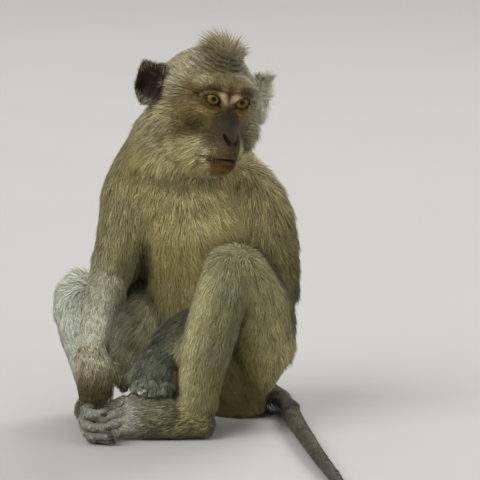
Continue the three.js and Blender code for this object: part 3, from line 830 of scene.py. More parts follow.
headCoat = {
    # place: middle (forwards, out, up), size, lie (forwards, out, up), length, height of the tips, width,
    # thickness of growth, colour of the coat, colour of the skin; mm and screen colours, mirrored
    "nose": ((65, 0, -37), 6, (-0.4, 0.2, -0.6), 1.2, 0.3, 0.28, 0.0, (44, 39, 24), (42, 37, 22)),
    "noseBridge": ((55, 3, -22), 8, (-0.3, 0.5, 0.6), 1.3, 0.2, 0.24, 0.25, (46, 40, 22), (44, 38, 19)),
    "noseSide": ((57, 11, -28), 6, (-0.6, 0.6, 0.1), 1.6, 0.25, 0.26, 0.4, (50, 42, 22), (44, 36, 18)),
    "betweenBrows": ((53, 0, 3), 4.0, (0.0, 0.1, 1.0), 1.6, 0.3, 0.26, 0.4, (80, 58, 28), (84, 60, 28)),
    "upperLip": ((66, 7, -49), 6, (-0.4, 0.9, -0.2), 2.2, 0.45, 0.24, 0.6, (86, 75, 46), (62, 49, 26)),
    "chin": ((64, 5, -67), 7, (-0.4, 0.4, -0.8), 3.2, 0.7, 0.28, 0.7, (98, 77, 32), (78, 58, 15)),
    "lipCorner": ((57, 14, -53), 6, (-0.9, 0.6, -0.1), 5.5, 1.3, 0.34, 0.9, (118, 110, 80), (70, 58, 36)),
    "muzzleSide": ((54, 14, -41), 7, (-0.9, 0.5, -0.2), 2.6, 0.5, 0.26, 0.7, (66, 57, 35), (52, 43, 23)),
    "underEye": ((47, 19, -17), 8, (-0.6, 0.6, -0.4), 1.8, 0.3, 0.26, 0.4, (104, 88, 52), (108, 90, 52)),
    "eye": ((51, 15, -3), 7, (-0.4, 0.6, -0.4), 0.8, 0.2, 0.25, 0.0, (80, 62, 34), (104, 80, 42)),
    "paleLid": ((52.5, 7.5, 1.2), 4.2, (0.0, 0.4, 0.6), 0.8, 0.2, 0.25, 0.0,
                (220, 200, 168), (250, 232, 200)),
    "brow": ((49, 16, 8), 5.0, (0.1, 0.3, 0.95), 4.0, 1.0, 0.36, 0.9, (86, 72, 42), (78, 58, 30)),
    "temple": ((38, 30, 0), 8, (-0.8, 0.5, 0.1), 6, 1.6, 0.5, 0.9, (86, 71, 40), (74, 58, 30)),
    "forehead": ((40, 10, 20), 10, (-0.5, 0.25, 0.9), 6, 1.6, 0.5, 1.0, (92, 83, 56), (54, 46, 33)),
    "browPale": ((43, 23, 12), 6, (-0.6, 0.5, 0.6), 6, 1.8, 0.5, 1.0, (124, 119, 100), (70, 62, 46)),
    "arcs": ((32, 12, 32), 12, (-0.4, 1.0, 0.1), 8, 1.8, 0.6, 1.1, (104, 95, 68), (54, 46, 33)),
    "crestFoot": ((26, 0, 38), 6, (-0.3, 0.1, 1.0), 11, 5.5, 0.6, 1.0, (90, 80, 50), (60, 52, 36)),
    "crest": ((15, 0, 40), 9, (0.1, 0.1, 1.0), 31, 28, 0.7, 0.8, (100, 88, 56), (66, 58, 40)),
    "crownSide": ((8, 27, 26), 13, (-0.8, 0.35, 0.1), 12, 4.4, 0.72, 1.0, (116, 109, 88), (76, 68, 50)),
    "crownBack": ((-24, 0, 34), 17, (-1.0, 0.0, -0.2), 15, 4.5, 0.76, 1.0, (108, 100, 76), (76, 68, 50)),
    "nape": ((-44, 0, 0), 20, (-0.3, 0.0, -1.0), 19, 6, 0.8, 1.0, (108, 100, 74), (80, 72, 54)),
    "beforeEar": ((4, 43, 1), 13, (-0.8, 0.6, -0.2), 20, 12.0, 0.66, 1.25, (124, 118, 98), (76, 68, 52)),
    "behindEar": ((-26, 36, 2), 14, (-0.6, 0.2, -0.8), 15, 5, 0.7, 1.0, (116, 112, 92), (76, 68, 50)),
    "cheek": ((24, 34, -22), 11, (-0.85, 0.4, -0.35), 10, 3.4, 0.56, 1.0, (103, 90, 57), (70, 60, 40)),
    "darkCheek": ((31, 29, -35), 8, (-0.9, 0.4, -0.3), 9, 2.4, 0.5, 1.0, (43, 33, 12), (48, 38, 20)),
    "whiskers": ((-4, 44, -34), 14, (-0.55, 0.5, -0.75), 19, 7.5, 0.7, 1.1, (120, 113, 88), (76, 68, 48)),
    "leftFringe": ((12, 38, -8), 10, (-0.3, 1.0, -0.35), 20, 15.0, 0.6, 1.1, (126, 123, 98), (76, 68, 48)),
    "leftWhiskers": ((10, 37, -28), 11, (-0.3, 0.9, -0.6), 22, 16.0, 0.6, 1.1, (120, 116, 88), (76, 68, 48)),
    "paleCheek": ((41, 18, -55), 8, (-1.0, 0.5, -0.15), 13, 4.5, 0.5, 1.25, (156, 149, 116), (84, 76, 54)),
    "paleJaw": ((27, 26, -56), 10, (-1.0, 0.4, -0.35), 17, 6.5, 0.6, 1.2, (150, 141, 106), (84, 76, 54)),
    "jaw": ((34, 17, -64), 9, (-0.8, 0.4, -0.7), 17, 7, 0.6, 1.15, (144, 130, 88), (76, 66, 42)),
    "throat": ((8, 6, -70), 15, (-0.2, 0.15, -1.0), 19, 8, 0.7, 1.0, (131, 122, 92), (84, 74, 50)),
}

faceStrokes = [
    # Colour, half width, strength on the coat and on the skin, then the line across and up; mirrored.
    ((38, 26, 12), 1.3, 0.6, 0.7,
     [(0, 3.6), (5, 5.4), (11, 6.4), (19, 5.6), (24, 3.0), (27, -0.5)]),  # brow ridge
    ((56, 40, 22), 1.3, 0.5, 0.5, [(0, 6), (0.4, -3)]),  # between the eyes
    ((22, 15, 9), 1.0, 0.95, 0.95, [(7.2, -9.8), (10, -7.6)]),  # inner corner of the eye
    ((26, 18, 10), 1.1, 0.5, 0.85, [(22.5, -3.2), (26.5, -2.6)]),  # outer corner
    ((44, 32, 18), 1.5, 0.5, 0.5, [(6.5, -10.5), (9.5, -15), (12, -21)]),  # down beside the nose
    ((60, 44, 25), 1.8, 0.45, 0.45, [(22, -9), (27, -6), (32, -6)]),  # from the outer corner back
    ((92, 80, 58), 1.1, 0, 0.5, [(0, -53.8), (5, -54.4), (9, -55.6), (12, -56.6)]),  # pale edge of the lip
    ((17, 11, 7), 1.0, 0, 0.95, [(0, -56.6), (5, -57.3), (9, -58.6), (12, -59.6), (14, -59.4)]),  # mouth: painted shade in the line between the lips
    ((64, 36, 16), 3.0, 0.2, 0.55, [(0, -62), (6, -62.5), (11, -62.5)]),  # lower lip
]

streakPlan = {  # dark arcs over the forehead, round the foot of the crest
    "lean": 7.0,  # mm by which the coat's middle line moves to the left up there
    "from": (20, 4, 48), "apart": 5.2, "depth": 0.84, "over": (31, -3, 31), "size": (24, 31, 16),
}

bodyCoat = {
    # kind: length, height of the tips, width, thickness of growth, then coat and skin colours at the near end
    # and at the far end
    "trunk": (18, 5.0, 0.66, 1.0, (112, 104, 72), (104, 96, 64), (96, 88, 64), (92, 84, 60)),
    "neck": (15, 2.2, 0.62, 1.0, (148, 146, 138), (128, 124, 106), (96, 88, 66), (96, 88, 66)),
    "upper_arm": (18, 7.0, 0.66, 1.0, (118, 111, 82), (118, 111, 80), (96, 88, 66), (96, 88, 66)),
    "upper_arm_right": (17, 4.6, 0.66, 1.0, (106, 101, 75), (124, 120, 96), (96, 88, 66), (96, 88, 66)),
    # its elbow end much darker than the right arm's: painted shade
    "upper_arm_left": (18, 7.0, 0.66, 1.0, (134, 126, 92), (66, 62, 42), (96, 88, 66), (76, 70, 48)),
    "forearm_right": (12, 3.2, 0.56, 1.0, (124, 122, 106), (161, 163, 157), (96, 90, 74), (122, 120, 108)),
    # dark own hair, darkened further as painted shade between the legs
    "forearm_left": (12, 3.4, 0.56, 1.0, (43, 44, 36), (48, 50, 44), (50, 49, 40), (46, 47, 42)),
    "thigh": (16, 4.6, 0.68, 1.0, (166, 159, 118), (122, 119, 90), (92, 86, 66), (92, 86, 66)),
    # its knee end pale and bluish: painted backlight over grey hair
    "thigh_right": (15, 4.2, 0.66, 1.0, (118, 113, 84), (152, 156, 152), (100, 94, 72), (112, 110, 98)),
    "shin_left": (12, 3.0, 0.56, 1.0, (104, 104, 81), (112, 107, 80), (90, 86, 66), (90, 84, 64)),
    # the right shin pale and bluish all along: painted backlight over grey hair
    "shin_right": (11, 2.8, 0.56, 1.0, (154, 160, 158), (146, 150, 144), (124, 124, 114), (108, 106, 94)),
    "tail": (8, 1.8, 0.5, 1.0, (72, 70, 58), (84, 82, 72), (52, 49, 42), (54, 52, 46)),
    "hand_right": (9, 2.2, 0.46, 1.0, (140, 137, 121), (55, 47, 27), (96, 90, 74), (62, 54, 36)),
    "hand_left": (9, 2.2, 0.5, 1.0, (58, 61, 53), (84, 88, 80), (46, 47, 42), (52, 54, 49)),
    "foot": (8, 2.6, 0.5, 1.0, (104, 99, 70), (90, 88, 74), (76, 71, 54), (62, 61, 51)),
    "ear": (5, 1.4, 0.4, 0.8, (112, 107, 88), (186, 186, 170), (30, 20, 9), (92, 86, 70)),  # right, then left; the left ear's paler tones are painted backlight, the right's near-black skin also paints the shade behind both ears
}
digitTones = {"hand_right": (118, 119, 109), "hand_left": (120, 123, 113), "foot_left": (138, 139, 130),
              "foot_right": (92, 92, 82)}
handMarks = {
    "palm": (0.04, 0.5), "digit": (0.5, 0.68),  # shares of the way where the colours change over
    "hairy": (-0.45, 0.15),  # how far the skin faces the back of the hand, from bare to hairy
    "shorter": (0.66, 0.74), "narrower": 0.3, "thinner": 0.5,  # losses of the coat on the digits
}
trunkMarks = {
    "front": (132, 124, 84), "belly": (113, 107, 71), "back": (106, 98, 72),  # of the coat
    "whorl": (-16, -50, -62),  # where the chest's hair parts, in mm from the neck's middle
    "blush": (130, 118, 90), "blushAt": (4, 0, 10),  # a warmer patch, in mm from the whorl
    "blushSpread": 30, "blushShare": 0.45,
    "fan": 0.95, "thighLie": (0.0, 0.55, -0.85),
    "shinLitFront": (-0.78, -0.6, 0.1), "shinLitFrontTone": (158, 154, 122),  # the left shin's pale front: paler hair, and painted light where it faces the key light
    "unlitAwayTone": 1.08, "unlitAwayShare": 0.75, "away": (-0.35, 0.45),  # where the right thigh turns away, its painted backlight gives way to the back's colour
}


def coatRow(name):  # the row of one bone
    return bodyCoat[name if name in bodyCoat else kindOf(name)]


def mixed(weights, rows):
    return weights @ np.asarray(rows, float)


def inArcs(p):  # how far each point, in head axes, lies in the part of the forehead that has arcs
    return np.exp(-(((p - np.array(streakPlan["over"])) / streakPlan["size"]) ** 2).sum(1) ** 2)


def headReading(points):
    # At each point the rows of headCoat mixed by exp(-(distance / size)^2), in the mirrored half.
    p = toHead(points)
    p[:, 1] -= toLeft(p) + streakPlan["lean"] * ramp(p[:, 2], 16, 42)
    way = np.where(p[:, 1] < 0, -1.0, 1.0)
    q = p * np.stack([np.ones(len(p)), way, np.ones(len(p))], 1)
    rows = list(headCoat.values())
    weight = np.stack([np.exp(-0.8 * (((q - row[0]) / row[1]) ** 2).sum(1)) + 1e-9 for row in rows], 1)
    far = np.stack([1 / (((q - row[0]) / row[1]) ** 2).sum(1) ** 3 for row in rows], 1)
    oneSided = np.array([name.startswith("left") for name in headCoat])
    weight = (weight + 1e-4 * far) * np.where(oneSided, np.where(way < 0, 1e-9, 3)[:, None], 1)
    weight = weight / weight.sum(1, keepdims=True)
    lie = mixed(weight, [row[2] for row in rows])
    along = np.cross(q - np.array(streakPlan["from"]), unit(q - np.array(headPlan["middle"])))
    along = unit(along * np.sign(along[:, 1:2] - 0.3 * along[:, :1]))  # the way an arc runs
    lie = lie + (along - lie) * inArcs(p)[:, None]
    lie[:, 1] *= way
    numbers = mixed(weight, [row[3:7] for row in rows])
    coat, bare = mixed(weight, [row[7] for row in rows]), mixed(weight, [row[8] for row in rows])
    for rgb, half, onCoat, onSkin, line in faceStrokes:
        near = (bell(lineDistance(q[:, 1], q[:, 2], line), 0, half) * ramp(q[:, 0], 22, 36))[:, None]
        coat = coat + (np.array(rgb) - coat) * near * onCoat
        bare = bare + (np.array(rgb) - bare) * near * onSkin
    front = ramp(q[:, 0], 36, 48)
    mouth = lineDistance(q[:, 1], q[:, 2], faceFolds[0][2])
    nostril = lineDistance(q[:, 1], q[:, 2], faceFolds[1][2])
    numbers[:, :2] *= 1 - (0.85 * (1 - ramp(mouth, 3, 15)) * front)[:, None]
    numbers[:, 3] *= (1 - (1 - ramp(mouth, 2.5, 9)) * front) * (1 - (1 - ramp(nostril, 2.5, 5)) * front)
    return unit(lie) @ headAxes, numbers, coat, bare


def trunkReading(weight, lie, coat):
    # Down the front the hair parts at the whorl and fans out; the chest is paler than the belly and the back.
    whorl = nodeMiddle["neck"] + np.array(trunkMarks["whorl"]) * mm
    trunk = weight[:, boneNames.index("trunk")] + 0.7 * weight[:, boneNames.index("neck")]
    trunk = trunk.clip(0, 1)[:, None]
    front = ramp(-skinNormals[:, 1], -0.1, 0.5)[:, None]
    off = skinPoints - whorl
    out = np.clip(off[:, 0] / (34 * mm), -1, 1) * (0.35 + 0.65 * ramp(off[:, 2], -110 * mm, -20 * mm))
    fan = unit(np.stack([trunkMarks["fan"] * out, 0 * out, np.full(len(out), -1.0)], 1))
    lie = lie + (fan - lie) * front * trunk
    low = 1 - ramp(off[:, 2], -120 * mm, -60 * mm)[:, None]
    frontColour = np.array(trunkMarks["front"]) * (1 - low) + np.array(trunkMarks["belly"]) * low
    fromBlush = np.linalg.norm(off - np.array(trunkMarks["blushAt"]) * mm, axis=1)
    high = trunkMarks["blushShare"] * bell(fromBlush, 0, trunkMarks["blushSpread"] * mm)[:, None]
    frontColour = frontColour * (1 - high) + np.array(trunkMarks["blush"]) * high
    colour = np.array(trunkMarks["back"]) * (1 - front) + frontColour * front
    coat = coat + (colour - coat) * trunk * 0.85
    # the left shin's front, facing forwards and to the left: paler hair there, and painted light from the
    # key's side
    edge = ramp(skinNormals @ unit(np.array(trunkMarks["shinLitFront"])), 0.72, 0.97)[:, None]
    edge = edge * weight[:, boneNames.index("shin_left")][:, None]
    coat = coat + (np.array(trunkMarks["shinLitFrontTone"]) - coat) * edge * 0.8
    # the right thigh's pale painted backlight gives way to the back's colour as it turns away
    away = ramp(skinNormals[:, 1:2], *trunkMarks["away"]) * weight[:, boneNames.index("thigh_right")][:, None]
    back = np.array(trunkMarks["back"]) * trunkMarks["unlitAwayTone"]
    return lie, coat + (back - coat) * away * trunkMarks["unlitAwayShare"]


def earReading(chosen, way, side):
    # The lie runs out from the ear's middle; hair grows behind it and round the rim, not in the cup.
    opening = unit(earPlace(np.array([0, 1.0, 0]), way) - earPlace(np.array([0, 0.0, 0]), way))
    off = skinPoints[chosen] - nodeMiddle["ear_" + side]
    off = off - (off @ opening)[:, None] * opening
    rim = ramp(np.linalg.norm(off, axis=1), 12.5 * mm, 15.5 * mm)
    behind = ramp(-skinNormals[chosen] @ opening, -0.15, 0.45)
    return unit(off) - opening * 0.5, np.maximum(behind, 0.22 * rim), rim


def skinReading():
    # The lie, length, height, width and growth of the coat, and both colours, at every point of the skin.
    part = partOfPoints(skin)
    edges = edgesOf(skin.data)
    near, along = boneReading(skinPoints)
    for k, name in enumerate(boneNames):  # hands and feet belong to their own bones alone
        if kindOf(name) in ("hand", "foot"):
            near[:, k] = np.where(part == skinParts[name], near[:, k] * 0.2, 99)
    weight = spread(boneWeights(near), edges, 14)
    clipped = np.clip(along, 0, 1)
    rows = [coatRow(name) for name in boneNames]
    ways = [unit(bones[name][1] - bones[name][0]) for name in boneNames]
    for k, name in enumerate(boneNames):
        if kindOf(name) == "thigh":
            ways[k] = unit(0.35 * ways[k] + np.array(trunkMarks["thighLie"]))
    lie = mixed(weight, ways)
    numbers = mixed(weight, [row[:4] for row in rows])
    nearEnd, farEnd = weight * (1 - clipped), weight * clipped
    coat = mixed(nearEnd, [row[4] for row in rows]) + mixed(farEnd, [row[5] for row in rows])
    bare = mixed(nearEnd, [row[6] for row in rows]) + mixed(farEnd, [row[7] for row in rows])
    lie, coat = trunkReading(weight, lie, coat)
    for name, back in backsOfHands.items():
        chosen = part == skinParts[name]
        here = along[chosen, boneNames.index(name)]
        row = coatRow(name)
        hairy = ramp(skinNormals[chosen] @ unit(np.array(back)), *handMarks["hairy"])
        palm, digit = ramp(here, *handMarks["palm"])[:, None], ramp(here, *handMarks["digit"])[:, None]
        numbers[chosen, :2] *= 1 - np.array(handMarks["shorter"]) * digit
        numbers[chosen, 2] *= 1 - handMarks["narrower"] * digit[:, 0]
        wrist = 1 - ramp(here, 0.0, 0.3)
        numbers[chosen, 3] = np.maximum(hairy, wrist) * (1 - handMarks["thinner"] * digit[:, 0])
        for tones, ends in ((coat, row[4:6]), (bare, row[6:8])):
            tone = np.array(ends[0]) * (1 - palm) + np.array(ends[1]) * palm
            tones[chosen] = tone + (np.array(digitTones[name]) - tone) * digit
    numbers, coat, bare = spread(numbers, edges, 8), spread(coat, edges, 16), spread(bare, edges, 6)
    # the head's own rows take over above the neck
    headLie, headNumbers, headCoatColour, headBare = headReading(skinPoints)
    fromCentre = toHead(skinPoints) - (4, 0, -20)
    fromCentre[:, 0] *= np.where(fromCentre[:, 0] > 0, 0.55, 1)
    below = ramp(np.linalg.norm(fromCentre, axis=1), 56, 82)
    headShare = np.where(part == skinParts["head"], 1 - below * 0.5, 1 - ramp(below, 0, 0.7))[:, None]
    headShare = spread(headShare * (part <= 1)[:, None], edges, 6) * (part <= 1)[:, None]
    lie = unit(lie) * (1 - headShare) + headLie * headShare
    numbers = numbers * (1 - headShare) + headNumbers * headShare
    coat = coat * (1 - headShare) + headCoatColour * headShare
    bare = bare * (1 - headShare) + headBare * headShare
    row = bodyCoat["ear"]
    for way, side in ((1, "left"), (-1, "right")):
        e = toEar(skinPoints, way)
        off = np.hypot((e[:, 0] + 2) / (earPlan["width"] / 2), e[:, 2] / (earPlan["height"] / 2))
        under = (part == skinParts["head"]) & (np.abs(e[:, 1]) < 26)
        numbers[under, 1] *= (0.15 + 0.85 * ramp(off, 1.0, 1.35))[under]
        numbers[under & (off < 0.9), 3] = 0
        # the head's skin tucked behind each ear takes the right ear's near-black: painted shade
        inside = under & (e[:, 1] > -earPlan["cup"] - 4) & (off < 0.86)
        coat[inside], bare[inside] = row[6], row[6]
        chosen = part == skinParts["ear_" + side]
        lie[chosen], growth, rim = earReading(chosen, way, side)
        numbers[chosen] = np.array(row[:4])
        numbers[chosen, 3] = row[3] * (growth if way < 0 else np.maximum(growth, 0.7))
        numbers[chosen, :2] *= 1 if way < 0 else 2.1
        # the left ear's pale coat and skin and both ears' brighter rims: painted backlight
        coat[chosen] = row[4 if way < 0 else 5]
        bare[chosen] = np.array(row[6 if way < 0 else 7]) * (1 + 0.35 * rim[:, None])
    lie = spread(unit(lie), edges, 8)
    lie = unit(lie - dot(lie, skinNormals) * skinNormals)
    numbers[:, 3] *= 0.15 + 0.85 * ramp(skinPoints[:, 2], 1 * mm, 5 * mm)
    return part, near, along, lie, spread(numbers, edges, 2), coat, spread(bare, edges, 2)


creaseShadePlan = {  # painted shade in creases: mm by which a hollow lies under its surroundings, from the first shade to the full one
    "body": (0.15, 1.1), "digits": (0.05, 0.55), "digitShare": 1.6, "shade": 0.55,
}


def paintedCreaseShade():  # painted shade: 0 in the open, 1 deep in a crease, by how far the neighbours' mean lies outside the skin
    mean = spread(skinPoints, edgesOf(skin.data), 5)
    out = dot(mean - skinPoints, skinNormals)
    body, digits = (ramp(out, *(depth * mm for depth in creaseShadePlan[key])) for key in ("body", "digits"))
    deep = np.where((skinPart > skinParts["ear_right"])[:, None], creaseShadePlan["digitShare"] * digits, body)
    onHead = (skinPart > skinParts["body"]) & (skinPart < skinParts["hand_left"])
    return np.where(onHead[:, None], 0, deep)


skinPart, boneNear, boneAlong, coatLie, coatNumbers, coatTone, bareTone = skinReading()
# coat and skin darkened in creases and between the digits: painted shade
coatTone, bareTone = (tone * (1 - creaseShadePlan["shade"] * paintedCreaseShade()) for tone in (coatTone, bareTone))
print("coat read at", len(skinPart), "points")


# the skin's paint

skinPaint = {
    "gain": 0.98, "underCoat": 0.9,  # of the bare skin's colour, and of the coat's colour between its roots
    # the last: strength of the painted shade along the mouth and in the nostrils
    "lidRim": (15, 11, 7), "foldShade": 0.9,
}


def paintedSkin():
    # Bare skin where little grows; under the coat, the coat's own colour in its shade. Dark rims of the lids,
    # and painted shade along the mouth's line and in the nostrils.
    growth = np.clip(coatNumbers[:, 3] * ramp(coatNumbers[:, 0], 2.5, 8), 0, 1)[:, None]
    colour = (linear(bareTone) * skinPaint["gain"] * (1 - growth)
              + linear(coatTone) * skinPaint["underCoat"] * growth)
    p = toHead(skinPoints)
    across = np.abs(p[:, 1] - toLeft(p))
    for way in (1, -1):
        level = eyeLevel(p - eyeAt(way), way)
        near = (np.linalg.norm(p - eyeAt(way), axis=1) < eyePlan["radius"] + 4) & (p[:, 0] > eyeAt(way)[0])
        rim = (bell(level, -0.1, 1.25) + 0.5 * bell(level, -1.9, 1.1)) * near * (skinPart == 1)
        colour = colour + (linear(skinPaint["lidRim"]) - colour) * np.clip(rim, 0, 1)[:, None]
    face = (skinPart == 1) * ramp(p[:, 0], 30, 40)
    for depth, width, line in faceFolds[:3]:  # mouth and nostrils: painted shade, darker where the fold is deeper
        shade = bell(lineDistance(across, p[:, 2], line), 0, width * 1.15) * face
        colour = colour * (1 - skinPaint["foldShade"] * min(1, depth / 2) * shade[:, None])
    addColour(skin.data, "paint", colour.clip(0, 1))


paintedSkin()
print("skin painted")


# the coat: spindles of six faces rooted all over the skin

coatPlan = {
    "tufts": 240000, "headShare": 1.9,  # how much thicker they stand on the head
    "gain": (1.52, 1.5, 1.33), "headGain": (0.95, 0.975, 1.06),  # brightness of all, and again on the head
    "rootShade": 0.72, "ringTint": (1.0, 1.0, 0.98), "tipTint": (1.2, 1.17, 1.07),
    "contrast": (0.12, 0.05, 0.3, 0.0, 0.8),  # tone by tuft and by lock, dark tips, pale locks, lock size
    "swaySize": 17.0, "sway": 0.24, "stray": 0.12,  # mm, and shares of the lie turned aside
    "lockSize": 3.8, "lockPull": 0.3,  # mm, and how far tips draw together
    "softness": 1.3,  # how much of a tuft's shading follows the body under it
    "patch": 0.003,  # side of a tuft's patch on the unwrap
    "quickShare": 0.35, "quickWidth": 1.6,
}
stronger = {  # contrast where it isn't the common one
    "coat_face": (0.28, 0.2, 0.6, 0.2, 0.6), "coat_crown": (0.3, 0.24, 0.6, 0.25, 0.6),
    "coat_cheeks": (0.26, 0.2, 0.5, 0.2, 0.7), "coat_neck": (0.2, 0.16, 0.45, 0.2, 0.8),
    "coat_hands": (0.3, 0.26, 0.6, 0.6, 0.6), "coat_feet": (0.34, 0.3, 0.6, 0.6, 0.6),
    "coat_arm_right": (0.2, 0.16, 0.45, 0.2, 0.7), "coat_arm_left": (0.18, 0.16, 0.45, 0.3, 0.7),
    "coat_thigh_right": (0.2, 0.16, 0.45, 0.15, 0.7), "coat_shin_right": (0.2, 0.16, 0.45, 0.15, 0.7),
    "coat_leg_left": (0.18, 0.14, 0.4, 0.1, 0.7),
}
coatPieces = {  # which bones' or parts' tufts each piece holds
    "coat_neck": ("neck",), "coat_chest": ("trunk",), "coat_back": ("trunk",),
    "coat_arm_left": ("upper_arm_left", "forearm_left"),
    "coat_arm_right": ("upper_arm_right", "forearm_right"),
    "coat_leg_left": ("thigh_left", "shin_left"),
    "coat_thigh_right": ("thigh_right",), "coat_shin_right": ("shin_right",),
    "coat_hands": ("hand_left", "hand_right"), "coat_feet": ("foot_left", "foot_right"),
    "coat_tail": ("tail_1", "tail_2", "tail_3", "tail_4", "tail_5"),
}


def rootsOverSkin(count):
    # Roots spread evenly over area times growth, along the running total of the triangles.
    a, b, c = (skinPoints[skinTriangles[:, k]] for k in range(3))
    area = np.linalg.norm(np.cross(b - a, c - a), axis=1) / 2
    perArea = coatNumbers[:, 3] / np.maximum(coatNumbers[:, 2], 0.3) ** 1.1
    perArea = perArea * np.where((skinPart > 0) & (skinPart < 4), coatPlan["headShare"], 1)
    perArea = perArea[skinTriangles].mean(1)
    total = np.cumsum(area * np.maximum(perArea, 0))
    at = (np.arange(count) + rng.random(count)) / count * total[-1]
    face = np.searchsorted(total, at).clip(0, len(total) - 1)
    u, v = rng.random((2, count))
    flip = u + v > 1
    u, v = np.where(flip, 1 - u, u), np.where(flip, 1 - v, v)
    share = np.stack([1 - u - v, u, v], 1)
    return skinTriangles[face], share


def readAt(values, corners, share):
    return sum(values[corners[:, k]] * share[:, k:k + 1] for k in range(3))


def unwrapOf(piece, root, owner, along):
    # Head: bend and spin about the middle, as a disc. Elsewhere: turn round the bone and share along.
    if piece in ("coat_face", "coat_crown", "coat_cheeks"):
        p = unit(toHead(root) - np.array(headPlan["middle"]))
        bend = np.arccos(np.clip(p[:, 0], -1, 1)) / np.pi
        spin = np.arctan2(p[:, 2], p[:, 1])
        return 0.5 + 0.48 * bend[:, None] * np.stack([np.cos(spin), np.sin(spin)], 1)
    if piece == "coat_ears":
        p = toHead(root)
        across = 0.25 + 0.5 * (p[:, 1] > 0) + (p[:, 0] + p[:, 1] * 0.2) * 0.006 - 0.06 * np.sign(p[:, 1])
        return np.stack([across, 0.5 + p[:, 2] * 0.012], 1).clip(0.01, 0.98)
    names = coatPieces[piece]
    out = np.zeros((len(root), 2))
    for k, name in enumerate(names):
        chosen = owner == boneNames.index(name)
        start, end, _ = bones[name]
        way = unit(end - start)
        side = unit(np.cross(way, (0.3, 1.0, 0.2)))
        off = root[chosen] - start
        turn = np.arctan2(off @ np.cross(way, side), off @ side) / (2 * np.pi) + 0.5
        share = (np.clip(along[chosen], -0.15, 1.15) + 0.15) / 1.3
        out[chosen] = np.stack([0.01 + 0.975 * turn, (k + 0.01 + 0.97 * share) / len(names)], 1)
    return out


def lockMeans(root, values, size=1.0):
    # The mean of the values over each lock: the roots that fall in one cell of a wavy grid.
    size = coatPlan["lockSize"] * size * mm
    wave = np.stack([ripple(root, 14 * mm, seed) for seed in (21, 22, 23)], 1) * size
    cell = np.floor((root + wave) / size).astype(np.int64)
    key = (cell - cell.min(0)) @ np.array([1, 4096, 4096 * 4096])
    ids = np.unique(key, return_inverse=True)[1].reshape(-1)
    sums = gathered(ids, values, ids.max() + 1)
    return (sums / np.bincount(ids)[:, None])[ids]


def streaks(root):
    # 1 on the pale arcs and less on the dark ones: a sine of the distance from the foot of the crest.
    p = toHead(root)
    reach = np.linalg.norm(p - np.array(streakPlan["from"]), axis=1) + 0.9 * ripple(root, 14 * mm, 31)
    wave = 0.5 + 0.5 * np.sin(reach * 2 * np.pi / streakPlan["apart"])
    return 1 - streakPlan["depth"] * inArcs(p) * wave


